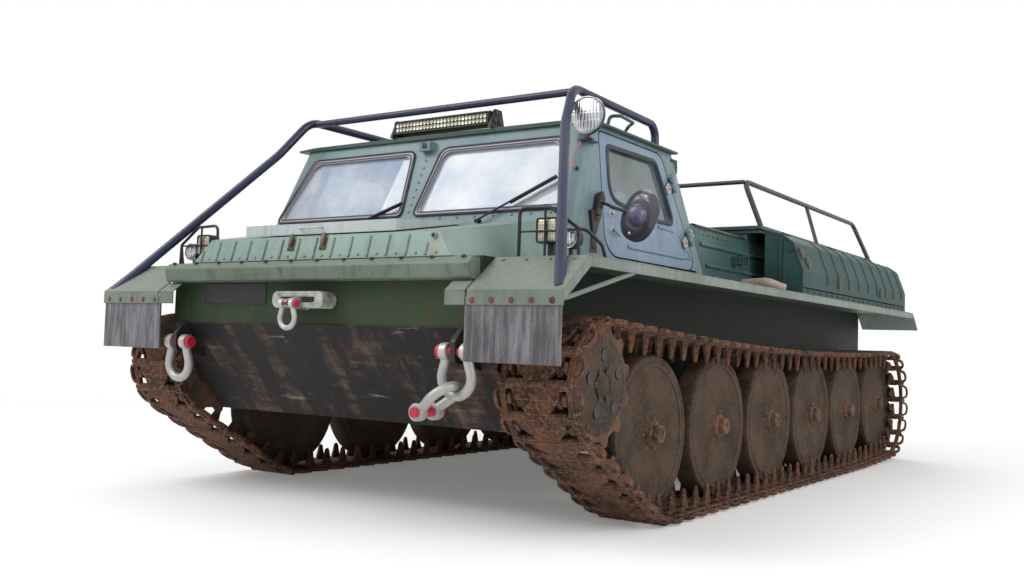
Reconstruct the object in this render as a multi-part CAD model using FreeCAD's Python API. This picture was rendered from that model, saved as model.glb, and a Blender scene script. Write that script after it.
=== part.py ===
# Light tracked all-terrain carrier, built as separate pieces.
# Millimetres. +Z is up and the ground is at 0. The front faces -Y, the vehicle's left side is +X, and
# the origin lies under the middle of the overall length and width.
import FreeCAD, Part
import os
from math import acos, asin, atan2, ceil, cos, degrees, hypot, pi, radians, sin, sqrt, tan

Vector = FreeCAD.Vector

# ---- Driving dimensions: whole vehicle ----
length = 5365
width = 2582
deck_height = 1062
belly_height = 385
roof_height = 1740

# ---- Running gear ----
track_gauge = 2180
track_width = 390
link_pitch = 128
link_thickness = 35
link_gap = 16
horn_height = 84
horn_spread = 176
tooth_width = 14
pocket_length = 86
wheel_radius = 337.5
wheel_face = 112
wheel_pitch = 715
wheels_a_side = 5
first_wheel_setback = 1065
idler_lift = 25
sprocket_setback = 455
sprocket_height = 592
sprocket_teeth = 12
top_run_sag = 55
arm_length = 260
wheel_clearance = 0.6

# ---- Hull ----
hull_plate = 8
weld_gap = 0.3
bulkhead_plate = 6
hull_side_gap = 15
bow_setback = 150
bow_knee_height = 790
glacis_run = 300
rear_setback = 232
shackle_bar = 9
rear_knee_height = 640
rear_slope_run = 260
floor_height = 640
engine_setback = 400
engine_length = 800
engine_half = 270

# ---- Hood and cab ----
hood_length = 600
hood_front_rise = 105
hood_front_half = 744
hood_top_half = 660
hood_lid_half = 436
hood_lid_height = 48
hood_lid_back = 95
nose_ribs = 14
nose_rib_pitch = 100.6
nose_rib_shift = -39
drain_x = 643
windshield_height = 1316
windshield_lean = 0.45
cab_half_deck = 934
cab_half_roof = 870
cab_roof_length = 824
cab_rear_lean = 0.51
cab_wall = 36
roof_plate = 22
roof_overhang = 30
corner_radius = 60
pillar_half_low = 35
pillar_half_high = 82
pane_height = 342
pane_thickness = 6
seal_width = 20
seal_proud = 6

# ---- Doors ----
door_gap = 7
door_front_back = 78
door_rear_back = 62
door_rear_lean = 0.62
door_bottom = 1133
door_top = 1700
hinge_low = 1300
hinge_high = 1554
hinge_offset = 17
hinge_radius = 13
hinge_slit = 0.4
knuckle_length = 26
leaf_length = 57
leaf_plate = 7
leaf_rise = 15
lid_hinge_radius = 8

# ---- Fenders and load body ----
fender_plate = 5
fender_front_lip = 56
lip_height = 36
strut_radius = 9
fender_nose = 177
fender_drop = 134
fender_setback = 55
fender_rear_setback = 274
wall_top = 1383
wall_plate = 26
box_setback = 2640
box_inner_gap = 12
box_half = 1237
box_sill = 1104
box_knee = 1205
box_rib_pitch = 223
shoulder_half = 1180
shoulder_height = 1362
cover_half = 1000
cover_height = 1460
cover_plate = 20
cover_panel_rise = 5
cover_overhang = 26
cover_margin = 75
box_plate = 6
box_flange = 14
header_drop = 70
tailgate_half = 560
tailgate_sill = 1080

# ---- Tubes ----
guard_tube = 21
guard_height = 1872
guard_foot_in = 30
rail_tube = 15
rail_height = 1728

# ---- Lamps ----
lamp_setback = 395
cage_setback = 382
searchlight_radius = 85
lead_radius = 2.2

front = -length / 2
rear = length / 2
half_width = width / 2
bow_y = front + bow_setback
rear_y = rear - rear_setback
hull_half = track_gauge / 2 - track_width / 2 - hull_side_gap
windshield_y = bow_y + hood_length
roof_seat = roof_height - roof_plate
roof_front_y = windshield_y + windshield_lean * (roof_seat - windshield_height)
cab_rear_top_y = roof_front_y + cab_roof_length
cab_rear_y = cab_rear_top_y + cab_rear_lean * (roof_seat - deck_height)
tumblehome = (cab_half_deck - cab_half_roof) / (roof_seat - deck_height)
wheel_height = wheel_radius + link_thickness
first_wheel_y = front + first_wheel_setback
wheel_stations = [first_wheel_y + i * wheel_pitch for i in range(wheels_a_side)]
idler_y = first_wheel_y + wheels_a_side * wheel_pitch
idler_height = wheel_height + idler_lift
sprocket_y = front + sprocket_setback
sprocket_radius = link_pitch / (2 * sin(pi / sprocket_teeth))
pin_offset = link_thickness / 2
track_x = track_gauge / 2
fender_front = front + fender_setback
fender_rear = rear - fender_rear_setback
box_front_y = rear - box_setback
cover_front_y = box_front_y - cover_overhang
cover_low = cover_height - cover_plate
body_rear_y = rear_y - 112
box_rear_y = fender_rear - 14


# ---- Shape helpers ----
def corner(before, point, after, radius):
    """Start, middle and end of the arc that rounds one corner of a route."""
    back = (before - point).normalize()
    ahead = (after - point).normalize()
    half = back.getAngle(ahead) / 2
    run = radius / tan(half)
    middle = (back + ahead).normalize() * (radius / sin(half) - radius)
    return point + back * run, point + middle, point + ahead * run


def route(points, radius, closed=False):
    """Wire of straight runs through points, with every corner rounded; a point may carry its own radius."""
    places = [Vector(*p[:3]) for p in points]
    radii = [p[3] if len(p) > 3 else radius for p in points]
    count = len(places)
    ends = []
    for i, place in enumerate(places):
        inner = closed or 0 < i < count - 1
        if inner and radii[i] > 0:
            ends.append(corner(places[i - 1], place, places[(i + 1) % count], radii[i]))
        else:
            ends.append((place,))
    edges = []
    for i, end in enumerate(ends):
        if len(end) == 3:
            edges.append(Part.Arc(*end).toShape())
        following = ends[(i + 1) % count]
        last = i == count - 1 and not closed
        if not last and (end[-1] - following[0]).Length > 0.001:
            edges.append(Part.makeLine(end[-1], following[0]))
    return Part.Wire(edges)


def tube(points, radius, bend):
    """Round bar along a route."""
    pieces = []
    for edge in route(points, bend).OrderedEdges:
        start = edge.valueAt(edge.FirstParameter)
        along = edge.tangentAt(edge.FirstParameter)
        if isinstance(edge.Curve, Part.Line):
            pieces.append(Part.makeCylinder(radius, edge.Length, start, along))
        else:
            ring = Part.Face(Part.Wire([Part.makeCircle(radius, start, along)]))
            turn = degrees(edge.Length / edge.Curve.Radius)
            pieces.append(ring.revolve(edge.Curve.Center, edge.Curve.Axis, turn))
    if len(pieces) == 1:
        return pieces[0]
    return joined(*pieces)


def prism_x(points, x0, x1, radius=0):
    """Outline in (y, z) with rounded corners, carried from x0 to x1."""
    wire = route([(x0, p[0], p[1], p[2] if len(p) > 2 else radius) for p in points], radius, True)
    return Part.Face(wire).extrude(Vector(x1 - x0, 0, 0))


def prism_y(points, y0, y1, radius=0):
    """Outline in (x, z) with rounded corners, carried from y0 to y1."""
    wire = route([(p[0], y0, p[1], p[2] if len(p) > 2 else radius) for p in points], radius, True)
    return Part.Face(wire).extrude(Vector(0, y1 - y0, 0))


def prism_z(points, z0, z1, radius=0):
    """Outline in (x, y) with rounded corners, carried from z0 to z1."""
    wire = route([(p[0], p[1], z0, p[2] if len(p) > 2 else radius) for p in points], radius, True)
    return Part.Face(wire).extrude(Vector(0, 0, z1 - z0))


def block(x0, x1, y0, y1, z0, z1):
    return Part.makeBox(x1 - x0, y1 - y0, z1 - z0, Vector(x0, y0, z0))


def rod(start, end, radius):
    start, end = Vector(*start), Vector(*end)
    return Part.makeCylinder(radius, (end - start).Length, start, end - start)


def mirrored(shape):
    return shape.mirror(Vector(0, 0, 0), Vector(1, 0, 0))


def joined(first, *others):
    return first.multiFuse(list(others)).removeSplitter()


def both(shape):
    """A left piece and its mirror image, as two separate solids."""
    return Part.makeCompound([shape, mirrored(shape)])


def save(name, shape):
    shape.exportStep("parts/" + name + ".step")


# ---- Hull ----
def hull_profile(inset):
    """Side outline of the tub; the inset one is the space inside its plates."""
    belly = belly_height + inset
    return [
        (bow_y + inset, deck_height),
        (bow_y + inset, bow_knee_height),
        (bow_y + glacis_run + inset, belly),
        (rear_y - rear_slope_run - inset, belly),
        (rear_y - inset, rear_knee_height),
        (rear_y - inset, deck_height),
    ]


def plate_between(start, end, x0, x1, thickness):
    """Flat plate along one side of the hull's outline, with its outer face on that side."""
    (y0, z0), (y1, z1) = start, end
    run = hypot(y1 - y0, z1 - z0)
    along = ((y1 - y0) / run, (z1 - z0) / run)
    inward = (-along[1], along[0])
    corners = [offset(start, along, inward, weld_gap, 0), offset(end, along, inward, -weld_gap, 0),
               offset(end, along, inward, -weld_gap - thickness, thickness),
               offset(start, along, inward, weld_gap + thickness, thickness)]
    return prism_x(corners, x0, x1)


def hull_tub():
    """Welded tub between the tracks: two side plates and the five plates of the bow, belly and stern."""
    side = prism_x(hull_profile(0), hull_half - hull_plate, hull_half)
    inside = hull_half - hull_plate - weld_gap
    profile = hull_profile(0)
    plates = [plate_between(a, b, -inside, inside, hull_plate) for a, b in zip(profile, profile[1:])]
    return Part.makeCompound([side, mirrored(side)] + plates)


def floor_plates():
    """Cab floor in three plates round the engine, the load floor behind the cab, and the two bulkheads."""
    inside = hull_half - hull_plate - weld_gap
    low, high = floor_height - bulkhead_plate, floor_height
    front_y = windshield_y - 54 + weld_gap
    well_y = windshield_y + engine_setback - 10
    middle_y = cab_rear_y - 60 - weld_gap
    front_plate = block(-inside, inside, front_y, well_y - weld_gap, low, high)
    beside = block(engine_half + 10, inside, well_y, middle_y, low, high)
    load = block(-inside, inside, middle_y + bulkhead_plate + 2 * weld_gap, rear_y - hull_plate - 10, low, high)
    bulkheads = []
    for y in (windshield_y - 60, cab_rear_y - 60):
        bulkheads.append(block(-inside, inside, y, y + bulkhead_plate, belly_height + hull_plate + weld_gap,
                               deck_height))
    return Part.makeCompound([front_plate, beside, mirrored(beside), load] + bulkheads)


def bow_fittings():
    """Rolled bow lip, centre cleat and the two towing eyes on the front plates."""
    lip = prism_x([(bow_y, 968), (bow_y - 62, 975), (bow_y - 75, 1030), (bow_y - 50, 1056), (bow_y, 1056)],
                  10 - hull_half, hull_half - 10, 14)
    cleat = prism_y([(-146, 857), (146, 857), (146, 926), (-146, 926)], bow_y - 80, bow_y, 30)
    slot = prism_y([(-100, 880), (100, 880), (100, 903), (-100, 903)], bow_y - 81, bow_y - 20, 11)
    low_y = bow_y + glacis_run
    eye = prism_x([(low_y, 600), (bow_y - 60, 660, 20), (bow_y - 60, 740, 20), (bow_y, 800), (low_y, 800)], 785, 809)
    eye = eye.cut(prism_x(hull_profile(0), -hull_half, hull_half))
    hole = rod((780, bow_y - 32, 700), (815, bow_y - 32, 700), shackle_bar - 0.7)
    eye = eye.cut(hole)
    pin_y, pin_z = centre_pin_y(), centre_pin_z()
    tongue = prism_x([(bow_y - 20, pin_z + 45), (front + 2, pin_z + 14, 14), (front + 2, pin_z - 14, 14),
                      (bow_y - 20, pin_z - 20)], -12, 12)
    tongue = tongue.cut(rod((-20, pin_y, pin_z), (20, pin_y, pin_z), shackle_bar - 0.7))
    centre = cleat.cut(slot).fuse(tongue)
    return Part.makeCompound([lip, centre, eye, mirrored(eye)])


def centre_pin_y():
    """Station of the centre shackle's pin; its bow is the foremost point of the vehicle."""
    return front + shackle_bar


def centre_pin_z():
    return deck_height - 190


def shackle(x, y, z, turn):
    """Bow shackle hanging from its pin, which lies along X."""
    body = tube([(x - 26, y, z), (x - 26, y, z - 60), (x + 26, y, z - 60), (x + 26, y, z)], shackle_bar, 25)
    pin = rod((x - 40, y, z), (x + 40, y, z), shackle_bar - 1)
    whole = body.fuse(pin)
    whole.rotate(Vector(x, y, z), Vector(1, 0, 0), turn)
    return whole


def tow_shackles():
    side = shackle(797, bow_y - 32, 700, 10)
    centre = shackle(0, centre_pin_y(), centre_pin_z(), 0)
    return Part.makeCompound([side, mirrored(side), centre])


def hood():
    """Raised nose ahead of the windshield: a ribbed front plate, sloping sides and the lid's opening."""
    top = deck_height + hood_front_rise
    back_top = cowl_height()
    low = [Vector(-hood_front_half, bow_y - 15, deck_height), Vector(hood_front_half, bow_y - 15, deck_height),
           Vector(hood_top_half, bow_y + 15, top), Vector(-hood_top_half, bow_y + 15, top)]
    side = cab_half_deck - 6
    high = [Vector(-side, windshield_y - 25, deck_height), Vector(side, windshield_y - 25, deck_height),
            Vector(side - 60, windshield_y - 25, back_top), Vector(60 - side, windshield_y - 25, back_top)]
    outer = Part.makeLoft([Part.makePolygon(low + low[:1]), Part.makePolygon(high + high[:1])], True, True)
    sink = hull_plate
    inner = Part.makeLoft([Part.makePolygon(inner_ring(low, sink)), Part.makePolygon(inner_ring(high, sink))],
                          True, True)
    shell = outer.cut(inner)
    opening = block(-lid_opening(), lid_opening(), lid_front() + 20, lid_rear() - 20, deck_height, 2000)
    shell = shell.cut([opening, cab_block(0)])
    ribs = []
    for i in range(nose_ribs):
        x = nose_rib_shift + (i - (nose_ribs - 1) / 2) * nose_rib_pitch
        end = i in (0, nose_ribs - 1)
        height = hood_front_rise * (0.45 if end else 0.8)
        foot = Vector(x, bow_y - 15, deck_height + 8)
        head = foot + Vector(0, 30 * height / hood_front_rise, height)
        ribs.append(Part.makeCylinder(5, (head - foot).Length, foot, head - foot))
    drain_z = hood_top_at(bow_y) - 19
    ribs.append(rod((drain_x, bow_y - 4, drain_z), (drain_x, bow_y + 14, drain_z), 11))
    stands = []
    for x in hood_hinge_places():
        outer, _ = knuckles((x, *hood_hinge_line()), (1, 0, 0), 60, lid_hinge_radius)
        for knuckle in outer:
            box = knuckle.BoundBox
            stands.append(block(box.XMin, box.XMax, box.YMin + 3, box.YMax - 3, box.ZMin - 3, box.ZMin + 6))
        stands += outer
    bore = rod((drain_x, bow_y - 5, drain_z), (drain_x, bow_y + 50, drain_z), 8)
    return shell.multiFuse(ribs + stands).cut(bore)


def hood_hinge_places():
    return (-300, 300)


def hood_hinge_line():
    """(y, z) of the hood lid's hinge line, just behind the lid."""
    y = lid_rear() + lid_hinge_radius + 2
    return y, hood_top_at(y) + lid_hinge_radius + 1.5


def inner_ring(ring, sink):
    """The hood's cross-section moved in by its plate thickness; its foot drops below the deck."""
    a, b, c, d = ring
    inner = [a + Vector(sink, 0, -sink), b + Vector(-sink, 0, -sink),
             c + Vector(-sink, 0, -sink), d + Vector(sink, 0, -sink)]
    shift = Vector(0, sink if a.y < bow_y else -sink, 0)
    moved = [p + shift for p in inner]
    return moved + moved[:1]


def cowl_height():
    return windshield_height - 52


def hood_slope():
    return (cowl_height() - deck_height - hood_front_rise) / (hood_length - 40)


def lid_front():
    return bow_y + 18


def lid_rear():
    return windshield_y - hood_lid_back


def lid_opening():
    return hood_lid_half - 22


def hood_top_at(y):
    """Height of the hood's top plate at a station."""
    return deck_height + hood_front_rise + hood_slope() * (y - bow_y - 15)


def hood_lid():
    """Shallow lid over the nose, nearly level, so that its sides taper to nothing at the hinge."""
    front_y, rear_y_lid = lid_front(), lid_rear()
    seat = 5.5
    low_front = hood_top_at(front_y) + seat
    low_rear = hood_top_at(rear_y_lid) + seat
    outline = [(front_y, low_front), (rear_y_lid, low_rear), (rear_y_lid, low_rear + 10),
               (front_y, low_front + hood_lid_height)]
    lid = prism_x(outline, -hood_lid_half, hood_lid_half)
    hollow = prism_x([(front_y + 8, low_front - 4), (rear_y_lid - 60, low_rear - 4),
                      (rear_y_lid - 60, low_rear + 2), (front_y + 8, low_front + hood_lid_height - 8)],
                     8 - hood_lid_half, hood_lid_half - 8)
    handle_z = low_front + hood_lid_height - 22
    handle = tube([(-90, front_y + 3, handle_z), (-90, front_y - 22, handle_z), (30, front_y - 22, handle_z),
                   (30, front_y + 3, handle_z)], 5, 10)
    line_y, line_z = hood_hinge_line()
    middles = []
    for x in hood_hinge_places():
        middles.append(knuckles((x, line_y, line_z), (1, 0, 0), 60, lid_hinge_radius)[1])
        middles.append(block(x - 30, x + 30, rear_y_lid - 8, line_y, line_z, line_z + 5))
    return lid.cut(hollow).multiFuse([handle] + middles)


def knuckles(centre, direction, length, radius):
    """Three knuckles in a line: the outer two belong to the fixed side, the middle one to the moving side."""
    centre, direction = Vector(*centre), Vector(*direction)
    outer = []
    for side in (-1, 1):
        start = centre + direction * (side * (length / 2 + hinge_slit))
        outer.append(Part.makeCylinder(radius, length / 2, start, direction * side))
    middle = Part.makeCylinder(radius, length, centre - direction * (length / 2), direction)
    return outer, middle


# ---- Cab ----
def cab_block(inset, top=None, bottom=None):
    """Cab volume with leaning windshield, sloping rear wall and sides that lean in; inset shrinks it."""
    top = roof_seat if top is None else top
    bottom = deck_height if bottom is None else bottom
    front_y = windshield_y + inset * sqrt(1 + windshield_lean ** 2)
    rear_low = cab_rear_y - inset * sqrt(1 + cab_rear_lean ** 2)
    side_view = prism_x(
        [
            (front_y - windshield_lean * (windshield_height - bottom), bottom),
            (rear_low + cab_rear_lean * (deck_height - bottom), bottom),
            (rear_low - cab_rear_lean * (top - deck_height), top),
            (front_y + windshield_lean * (top - windshield_height), top),
        ],
        -half_width, half_width,
    )
    low = cab_half_deck - inset + tumblehome * (deck_height - bottom)
    high = cab_half_deck - inset - tumblehome * (top - deck_height)
    front_view = prism_y([(-low, bottom), (low, bottom), (high, top), (-high, top)],
                         windshield_y - 600, cab_rear_y + 600)
    return side_view.common(front_view)


def side_half(z):
    """Half width of the cab's outer face at a height."""
    return cab_half_deck - tumblehome * (z - deck_height)


def hinge_station(z):
    """Station of the door hinge line at a height; the line follows the slanting rear edge."""
    return cab_rear_y - door_rear_back - door_rear_lean * (z - deck_height)


def door_outline(gap):
    """Door edge in (y, z); gap moves it inwards."""
    front_y = windshield_y + windshield_lean * (door_top - windshield_height) + door_front_back
    back = hinge_station(door_bottom) + door_gap / 2
    top_back = back - door_rear_lean * (door_top - door_bottom)
    return [
        (front_y + gap, door_bottom + gap, 110),
        (back - 1.3 * gap, door_bottom + gap, 60),
        (top_back - 0.9 * gap, door_top - gap, 90),
        (front_y + gap, door_top - gap, 25),
    ]


def window_outline(gap):
    """Door window in (y, z); gap moves it inwards."""
    front_y = door_outline(0)[0][0] + 72
    low_back = hinge_station(1352) - 110
    high_back = hinge_station(1650) - 95
    return [
        (front_y + gap, 1400 + gap, 100),
        (front_y + 350, 1352 + gap, 0),
        (low_back - gap, 1352 + gap, 40),
        (high_back - gap, 1648 - gap, 60),
        (front_y + gap, 1640 - gap, 30),
    ]


def pane_outline(gap):
    """Left windshield opening in (x, z); the outer edge leans in with the cab."""
    top = windshield_height + pane_height
    return [
        (pillar_half_low + gap, windshield_height + gap, 30),
        (side_half(windshield_height) - 41 - gap, windshield_height + gap, 30),
        (side_half(top) - 116 - gap, top - gap, 50),
        (pillar_half_high + gap, top - gap, 50),
    ]


def rear_window_outline(gap):
    return [(130 + gap, 1370 + gap, 40), (640 - gap, 1370 + gap, 40),
            (600 - gap, 1600 - gap, 40), (130 + gap, 1600 - gap, 40)]


def layer(outside, inside):
    """Shell of the cab between two depths behind its outer faces."""
    return cab_block(outside).cut(cab_block(inside))


def cab_outer():
    """Outside of the cab, with its two front corners rounded."""
    outer = cab_block(0)
    leaning = [e for e in outer.Edges if abs(e.tangentAt(0).z) > 0.5 and e.CenterOfMass.y < windshield_y + 200]
    return outer.makeFillet(corner_radius, leaning)


def cab_walls():
    """All the cab's walls in one piece, with the doors, panes and rear windows cut; it is split into frames."""
    walls = cab_outer().cut(cab_block(cab_wall, roof_seat + 1, deck_height - 1))
    pane = prism_y(pane_outline(0), windshield_y - 100, windshield_y + 400)
    window = prism_y(rear_window_outline(0), cab_rear_y - 400, cab_rear_y + 100)
    doorway = prism_x(door_outline(0), 700, half_width).fuse(door_heel())
    return walls.cut([doorway, mirrored(doorway), pane, mirrored(pane), window, mirrored(window)])


def door_heel():
    """Chamfer of the sill's inner edge; the leaning hinge line carries the door's heel down as it opens."""
    back = door_outline(0)[1][0]
    x, z = side_half(door_bottom), door_bottom
    inside = x - cab_wall - 1
    outline = [(x + 12, z + 8), (x + 12, z + 4), (inside, z - 18), (inside - 20, z - 18), (inside - 20, z + 8)]
    return prism_y(outline, back - 340, back - 12)


def leaning_slab(low_y, lean, depth):
    """Space in front of a plane across the cab that leans back by lean, depth thick."""
    low_z, high_z = deck_height - 10, roof_seat + 10
    outline = [(low_y - depth, low_z), (low_y + lean * (low_z - deck_height), low_z),
               (low_y + lean * (high_z - deck_height), high_z), (low_y - depth, high_z)]
    return prism_x(outline, -half_width, half_width)


def front_split():
    """Space that the windshield frame takes up, ahead of the weld behind the rounded corners."""
    low_y = windshield_y - windshield_lean * (windshield_height - deck_height) + corner_radius + 34
    return leaning_slab(low_y, windshield_lean, 900)


def rear_split():
    """Space ahead of the rear wall's inner face."""
    return leaning_slab(cab_rear_y - cab_wall * sqrt(1 + cab_rear_lean ** 2), -cab_rear_lean, 3000)


def cab_front(walls):
    """Windshield frame with its pillars, and the small bracket at the top of the centre pillar."""
    foot = windshield_y + windshield_lean * (1672 - windshield_height)
    bracket = block(-36, 30, foot - 44, foot + 10, 1650, 1694).cut(block(-20, 14, foot - 50, foot - 14, 1660, 1700))
    return walls.common(front_split()).fuse(bracket.cut(cab_outer()))


def cab_rear(walls):
    """Sloping rear wall with two windows."""
    return walls.cut(rear_split())


def cab_sides(walls):
    """Door frames between the windshield frame and the rear wall, with the fixed hinge leaves."""
    sides = walls.common(rear_split()).cut(front_split())
    left = sides.common(block(0, half_width, windshield_y - 600, cab_rear_y + 600, 0, roof_height))
    leaves = []
    for z in (hinge_low, hinge_high):
        leaves += hinge_halves(z, body_side=True)
    return both(left.multiFuse(leaves).cut(cab_rear(walls)))


def hinge_axis():
    low = Vector(side_half(hinge_low) + hinge_offset, hinge_station(hinge_low), hinge_low)
    high = Vector(side_half(hinge_high) + hinge_offset, hinge_station(hinge_high), hinge_high)
    return low, high


def hinge_halves(z, body_side):
    """Leaf and knuckles of one door hinge on the left side; the body side has the two outer knuckles."""
    low, high = hinge_axis()
    along = (high - low).normalize()
    centre = low + along * ((z - hinge_low) / along.z)
    outward = Vector(1, 0, tumblehome).normalize()
    backward = along.cross(outward)
    direction = backward if body_side else backward * -1
    turn = FreeCAD.Rotation(direction.cross(outward), direction, outward, "ZXY")
    shifts = (-knuckle_length - 0.5, knuckle_length + 0.5) if body_side else (0,)
    pieces = []
    for shift in shifts:
        middle = centre + along * shift
        barrel = Part.makeCylinder(hinge_radius, knuckle_length, middle - along * (knuckle_length / 2), along)
        leaf = Part.makeBox(knuckle_length, leaf_length, leaf_plate,
                            Vector(-knuckle_length / 2, hinge_radius - 5, -hinge_offset - 0.5))
        web = Part.makeBox(knuckle_length, hinge_radius - 2, leaf_rise,
                           Vector(-knuckle_length / 2, 3, -hinge_offset - 0.5))
        for box in (leaf, web):
            box.Placement = FreeCAD.Placement(middle, turn)
        pieces.append(barrel.fuse([leaf, web]))
    return pieces


def door():
    """Left door: a panel as thick as the cab wall, with its window, swage, latch parts and hinge leaves."""
    walls = layer(0, cab_wall)
    panel = walls.common(prism_x(door_outline(door_gap), 700, half_width))
    panel = panel.cut(prism_x(window_outline(0), 700, half_width))
    fittings = []
    for z in (hinge_low, hinge_high):
        fittings += hinge_halves(z, body_side=False)
    fittings += door_swage()
    latch_y = door_outline(door_gap)[0][0] + 68
    for z, reach in ((door_bottom + 123, 20), (door_bottom + 200, 12)):
        fittings.append(rod((side_half(z) - 4, latch_y, z), (side_half(z) + reach, latch_y, z), 9))
    lever_z = door_bottom + 123
    x = side_half(lever_z) + 16
    fittings.append(rod((x, latch_y, lever_z), (x, latch_y + 42, lever_z - 22), 5))
    return panel.multiFuse(fittings)


def door_swage():
    """Pressed ridge along the door's lower panel and up towards its slanting rear edge."""
    low_y = door_outline(0)[0][0]
    points = []
    for y, z in ((low_y + 265, door_bottom + 63), (hinge_station(door_bottom) - 66, door_bottom + 66),
                 (hinge_station(hinge_low + 4) - 84, hinge_low + 4)):
        points.append((side_half(z), y, z))
    return [rod(start, end, 5) for start, end in zip(points, points[1:])]


def door_glass():
    """Left door pane inside its rubber seal."""
    half = pane_thickness / 2
    sheet = layer(cab_wall / 2 - half, cab_wall / 2 + half)
    return sheet.common(prism_x(window_outline(0), 700, half_width))


def cab_roof():
    """Pressed roof with a drip edge all round and the opening of its hatch."""
    half = cab_half_roof + roof_overhang
    front_y = roof_front_y - 14
    back_y = cab_rear_top_y + 20
    crown = 8
    outline = [(-half, roof_seat), (half, roof_seat), (half, roof_seat + 10), (half - 110, roof_height - 4),
               (0, roof_height), (110 - half, roof_height - 4), (-half, roof_seat + 10)]
    plate = prism_y(outline, front_y, back_y)
    hatch = prism_z(hatch_outline(0), roof_seat - 1, roof_height + 1)
    stands = []
    for x in hatch_hinge_places():
        outer, _ = knuckles((x, *hatch_hinge_line()), (1, 0, 0), 50, lid_hinge_radius)
        for knuckle in outer:
            box = knuckle.BoundBox
            stands.append(block(box.XMin, box.XMax, box.YMin + 3, box.YMax - 3, roof_height - 6, box.ZMin + 6))
        stands += outer
    loop_z = roof_height + 48
    loop = tube([(850, front_y + 205, roof_height - 12), (858, front_y + 218, loop_z), (904, front_y + 236, loop_z),
                 (888, front_y + 390, loop_z), (822, front_y + 462, loop_z),
                 (800, front_y + 440, roof_height - 10)], 8, 22)
    return plate.cut(hatch).multiFuse(stands + [loop])


def hatch_hinge_places():
    return (-520, -300)


def hatch_hinge_line():
    """(y, z) of the roof hatch's hinge line, just ahead of its lid."""
    return hatch_outline(-28)[0][1] - lid_hinge_radius - 2, roof_height + lid_hinge_radius + 1.5


def hatch_outline(gap):
    """Passenger's roof hatch in (x, y); gap moves it inwards."""
    x0, x1 = -640 + gap, -180 - gap
    y0, y1 = roof_front_y + 190 + gap, roof_front_y + 640 - gap
    return [(x0, y0, 60), (x1, y0, 60), (x1, y1, 60), (x0, y1, 60)]


def roof_hatch():
    """Hatch lid that stands over its opening, with a plug that drops inside it."""
    plug = prism_z(hatch_outline(8), roof_seat + 4, roof_height + 7)
    lid = prism_z(hatch_outline(-28), roof_height + 6, roof_height + 16)
    line_y, line_z = hatch_hinge_line()
    middles = []
    for x in hatch_hinge_places():
        middles.append(knuckles((x, line_y, line_z), (1, 0, 0), 50, lid_hinge_radius)[1])
        middles.append(block(x - 25, x + 25, line_y, line_y + 40, line_z + 1, line_z + 6))
    return plug.multiFuse([lid] + middles)


def windshield_glass():
    """Two windshield panes and two rear panes."""
    sheet = layer(10, 10 + pane_thickness)
    pane = sheet.common(prism_y(pane_outline(seal_width), windshield_y - 100, windshield_y + 300))
    small = sheet.common(prism_y(rear_window_outline(seal_width), cab_rear_y - 400, cab_rear_y + 100))
    return Part.makeCompound([pane, mirrored(pane), small, mirrored(small)])


def window_seals():
    """Rubber frames that hold the windshield and rear panes."""
    ring = prism_y(pane_outline(0), windshield_y - 100, windshield_y + 300)
    ring = ring.cut(prism_y(pane_outline(seal_width), windshield_y - 110, windshield_y + 310))
    seal = layer(-seal_proud, cab_wall).common(ring)
    back = prism_y(rear_window_outline(0), cab_rear_y - 400, cab_rear_y + 100)
    back = back.cut(prism_y(rear_window_outline(seal_width), cab_rear_y - 410, cab_rear_y + 110))
    rear_seal = layer(-seal_proud, cab_wall).common(back)
    return Part.makeCompound([seal, mirrored(seal), rear_seal, mirrored(rear_seal)])


def wipers():
    """Two wipers from spindles below the panes, parked to the vehicle's left."""
    pieces = []
    for pivot, tip, rise in ((435, 774, 139), (-310, -60, 62)):
        foot_z = windshield_height - 38
        spindle_y = windshield_y + windshield_lean * (foot_z - windshield_height)
        tip_z = windshield_height + rise
        tip_y = windshield_y + windshield_lean * (tip_z - windshield_height) - 26
        knee = (pivot, spindle_y - 26, foot_z)
        spindle = rod((pivot, spindle_y + 20, foot_z), (pivot, spindle_y - 30, foot_z - 4), 9)
        pieces.append(spindle.fuse(rod(knee, (tip, tip_y, tip_z), 5)).cut(cab_block(-0.2)))
    return Part.makeCompound(pieces)


# ---- Fenders ----
def fender():
    """Left fender plate: drooped nose with a turned-down front, level deck and a drooped tail."""
    bend_y = fender_front + fender_nose
    top, low = deck_height, deck_height - fender_plate
    nose = deck_height - fender_drop
    tail_y, tail_z = fender_rear + 157, deck_height - 121
    outline = [
        (fender_front, nose - fender_front_lip), (fender_front, nose), (bend_y, top), (fender_rear, top),
        (tail_y, tail_z), (tail_y, tail_z - fender_plate), (fender_rear, low), (bend_y, low),
        (fender_front + fender_plate, nose - fender_plate),
        (fender_front + fender_plate, nose - fender_front_lip),
    ]
    return prism_x(outline, hull_half, half_width)


def under_fender():
    """Space below the fender's upper face at the nose; feet that stand on the nose are trimmed by it."""
    bend_y = fender_front + fender_nose
    nose = deck_height - fender_drop
    return prism_x([(fender_front - 90, 0), (fender_front - 90, nose), (fender_front, nose), (bend_y, deck_height),
                    (bend_y + 600, deck_height), (bend_y + 600, 0)], -half_width, half_width)


def fender_lip():
    """Bolted strip under the left fender's outer edge, with the strut that braces its front corner."""
    bend_y = fender_front + fender_nose
    top = deck_height - fender_plate - weld_gap
    front_y, front_z = fender_front + fender_plate + weld_gap, top - fender_drop
    outline = [
        (front_y, front_z), (bend_y, top), (fender_rear, top), (fender_rear, top - lip_height),
        (bend_y + 8, top - lip_height), (front_y, front_z - lip_height),
    ]
    strip = prism_x(outline, half_width - fender_plate, half_width)
    x = half_width - fender_plate - strut_radius + 1
    strut = rod((x, front_y + 22, front_z - 25), (x, bend_y + 368, top - lip_height + 4), strut_radius)
    return strip.fuse(strut)


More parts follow.
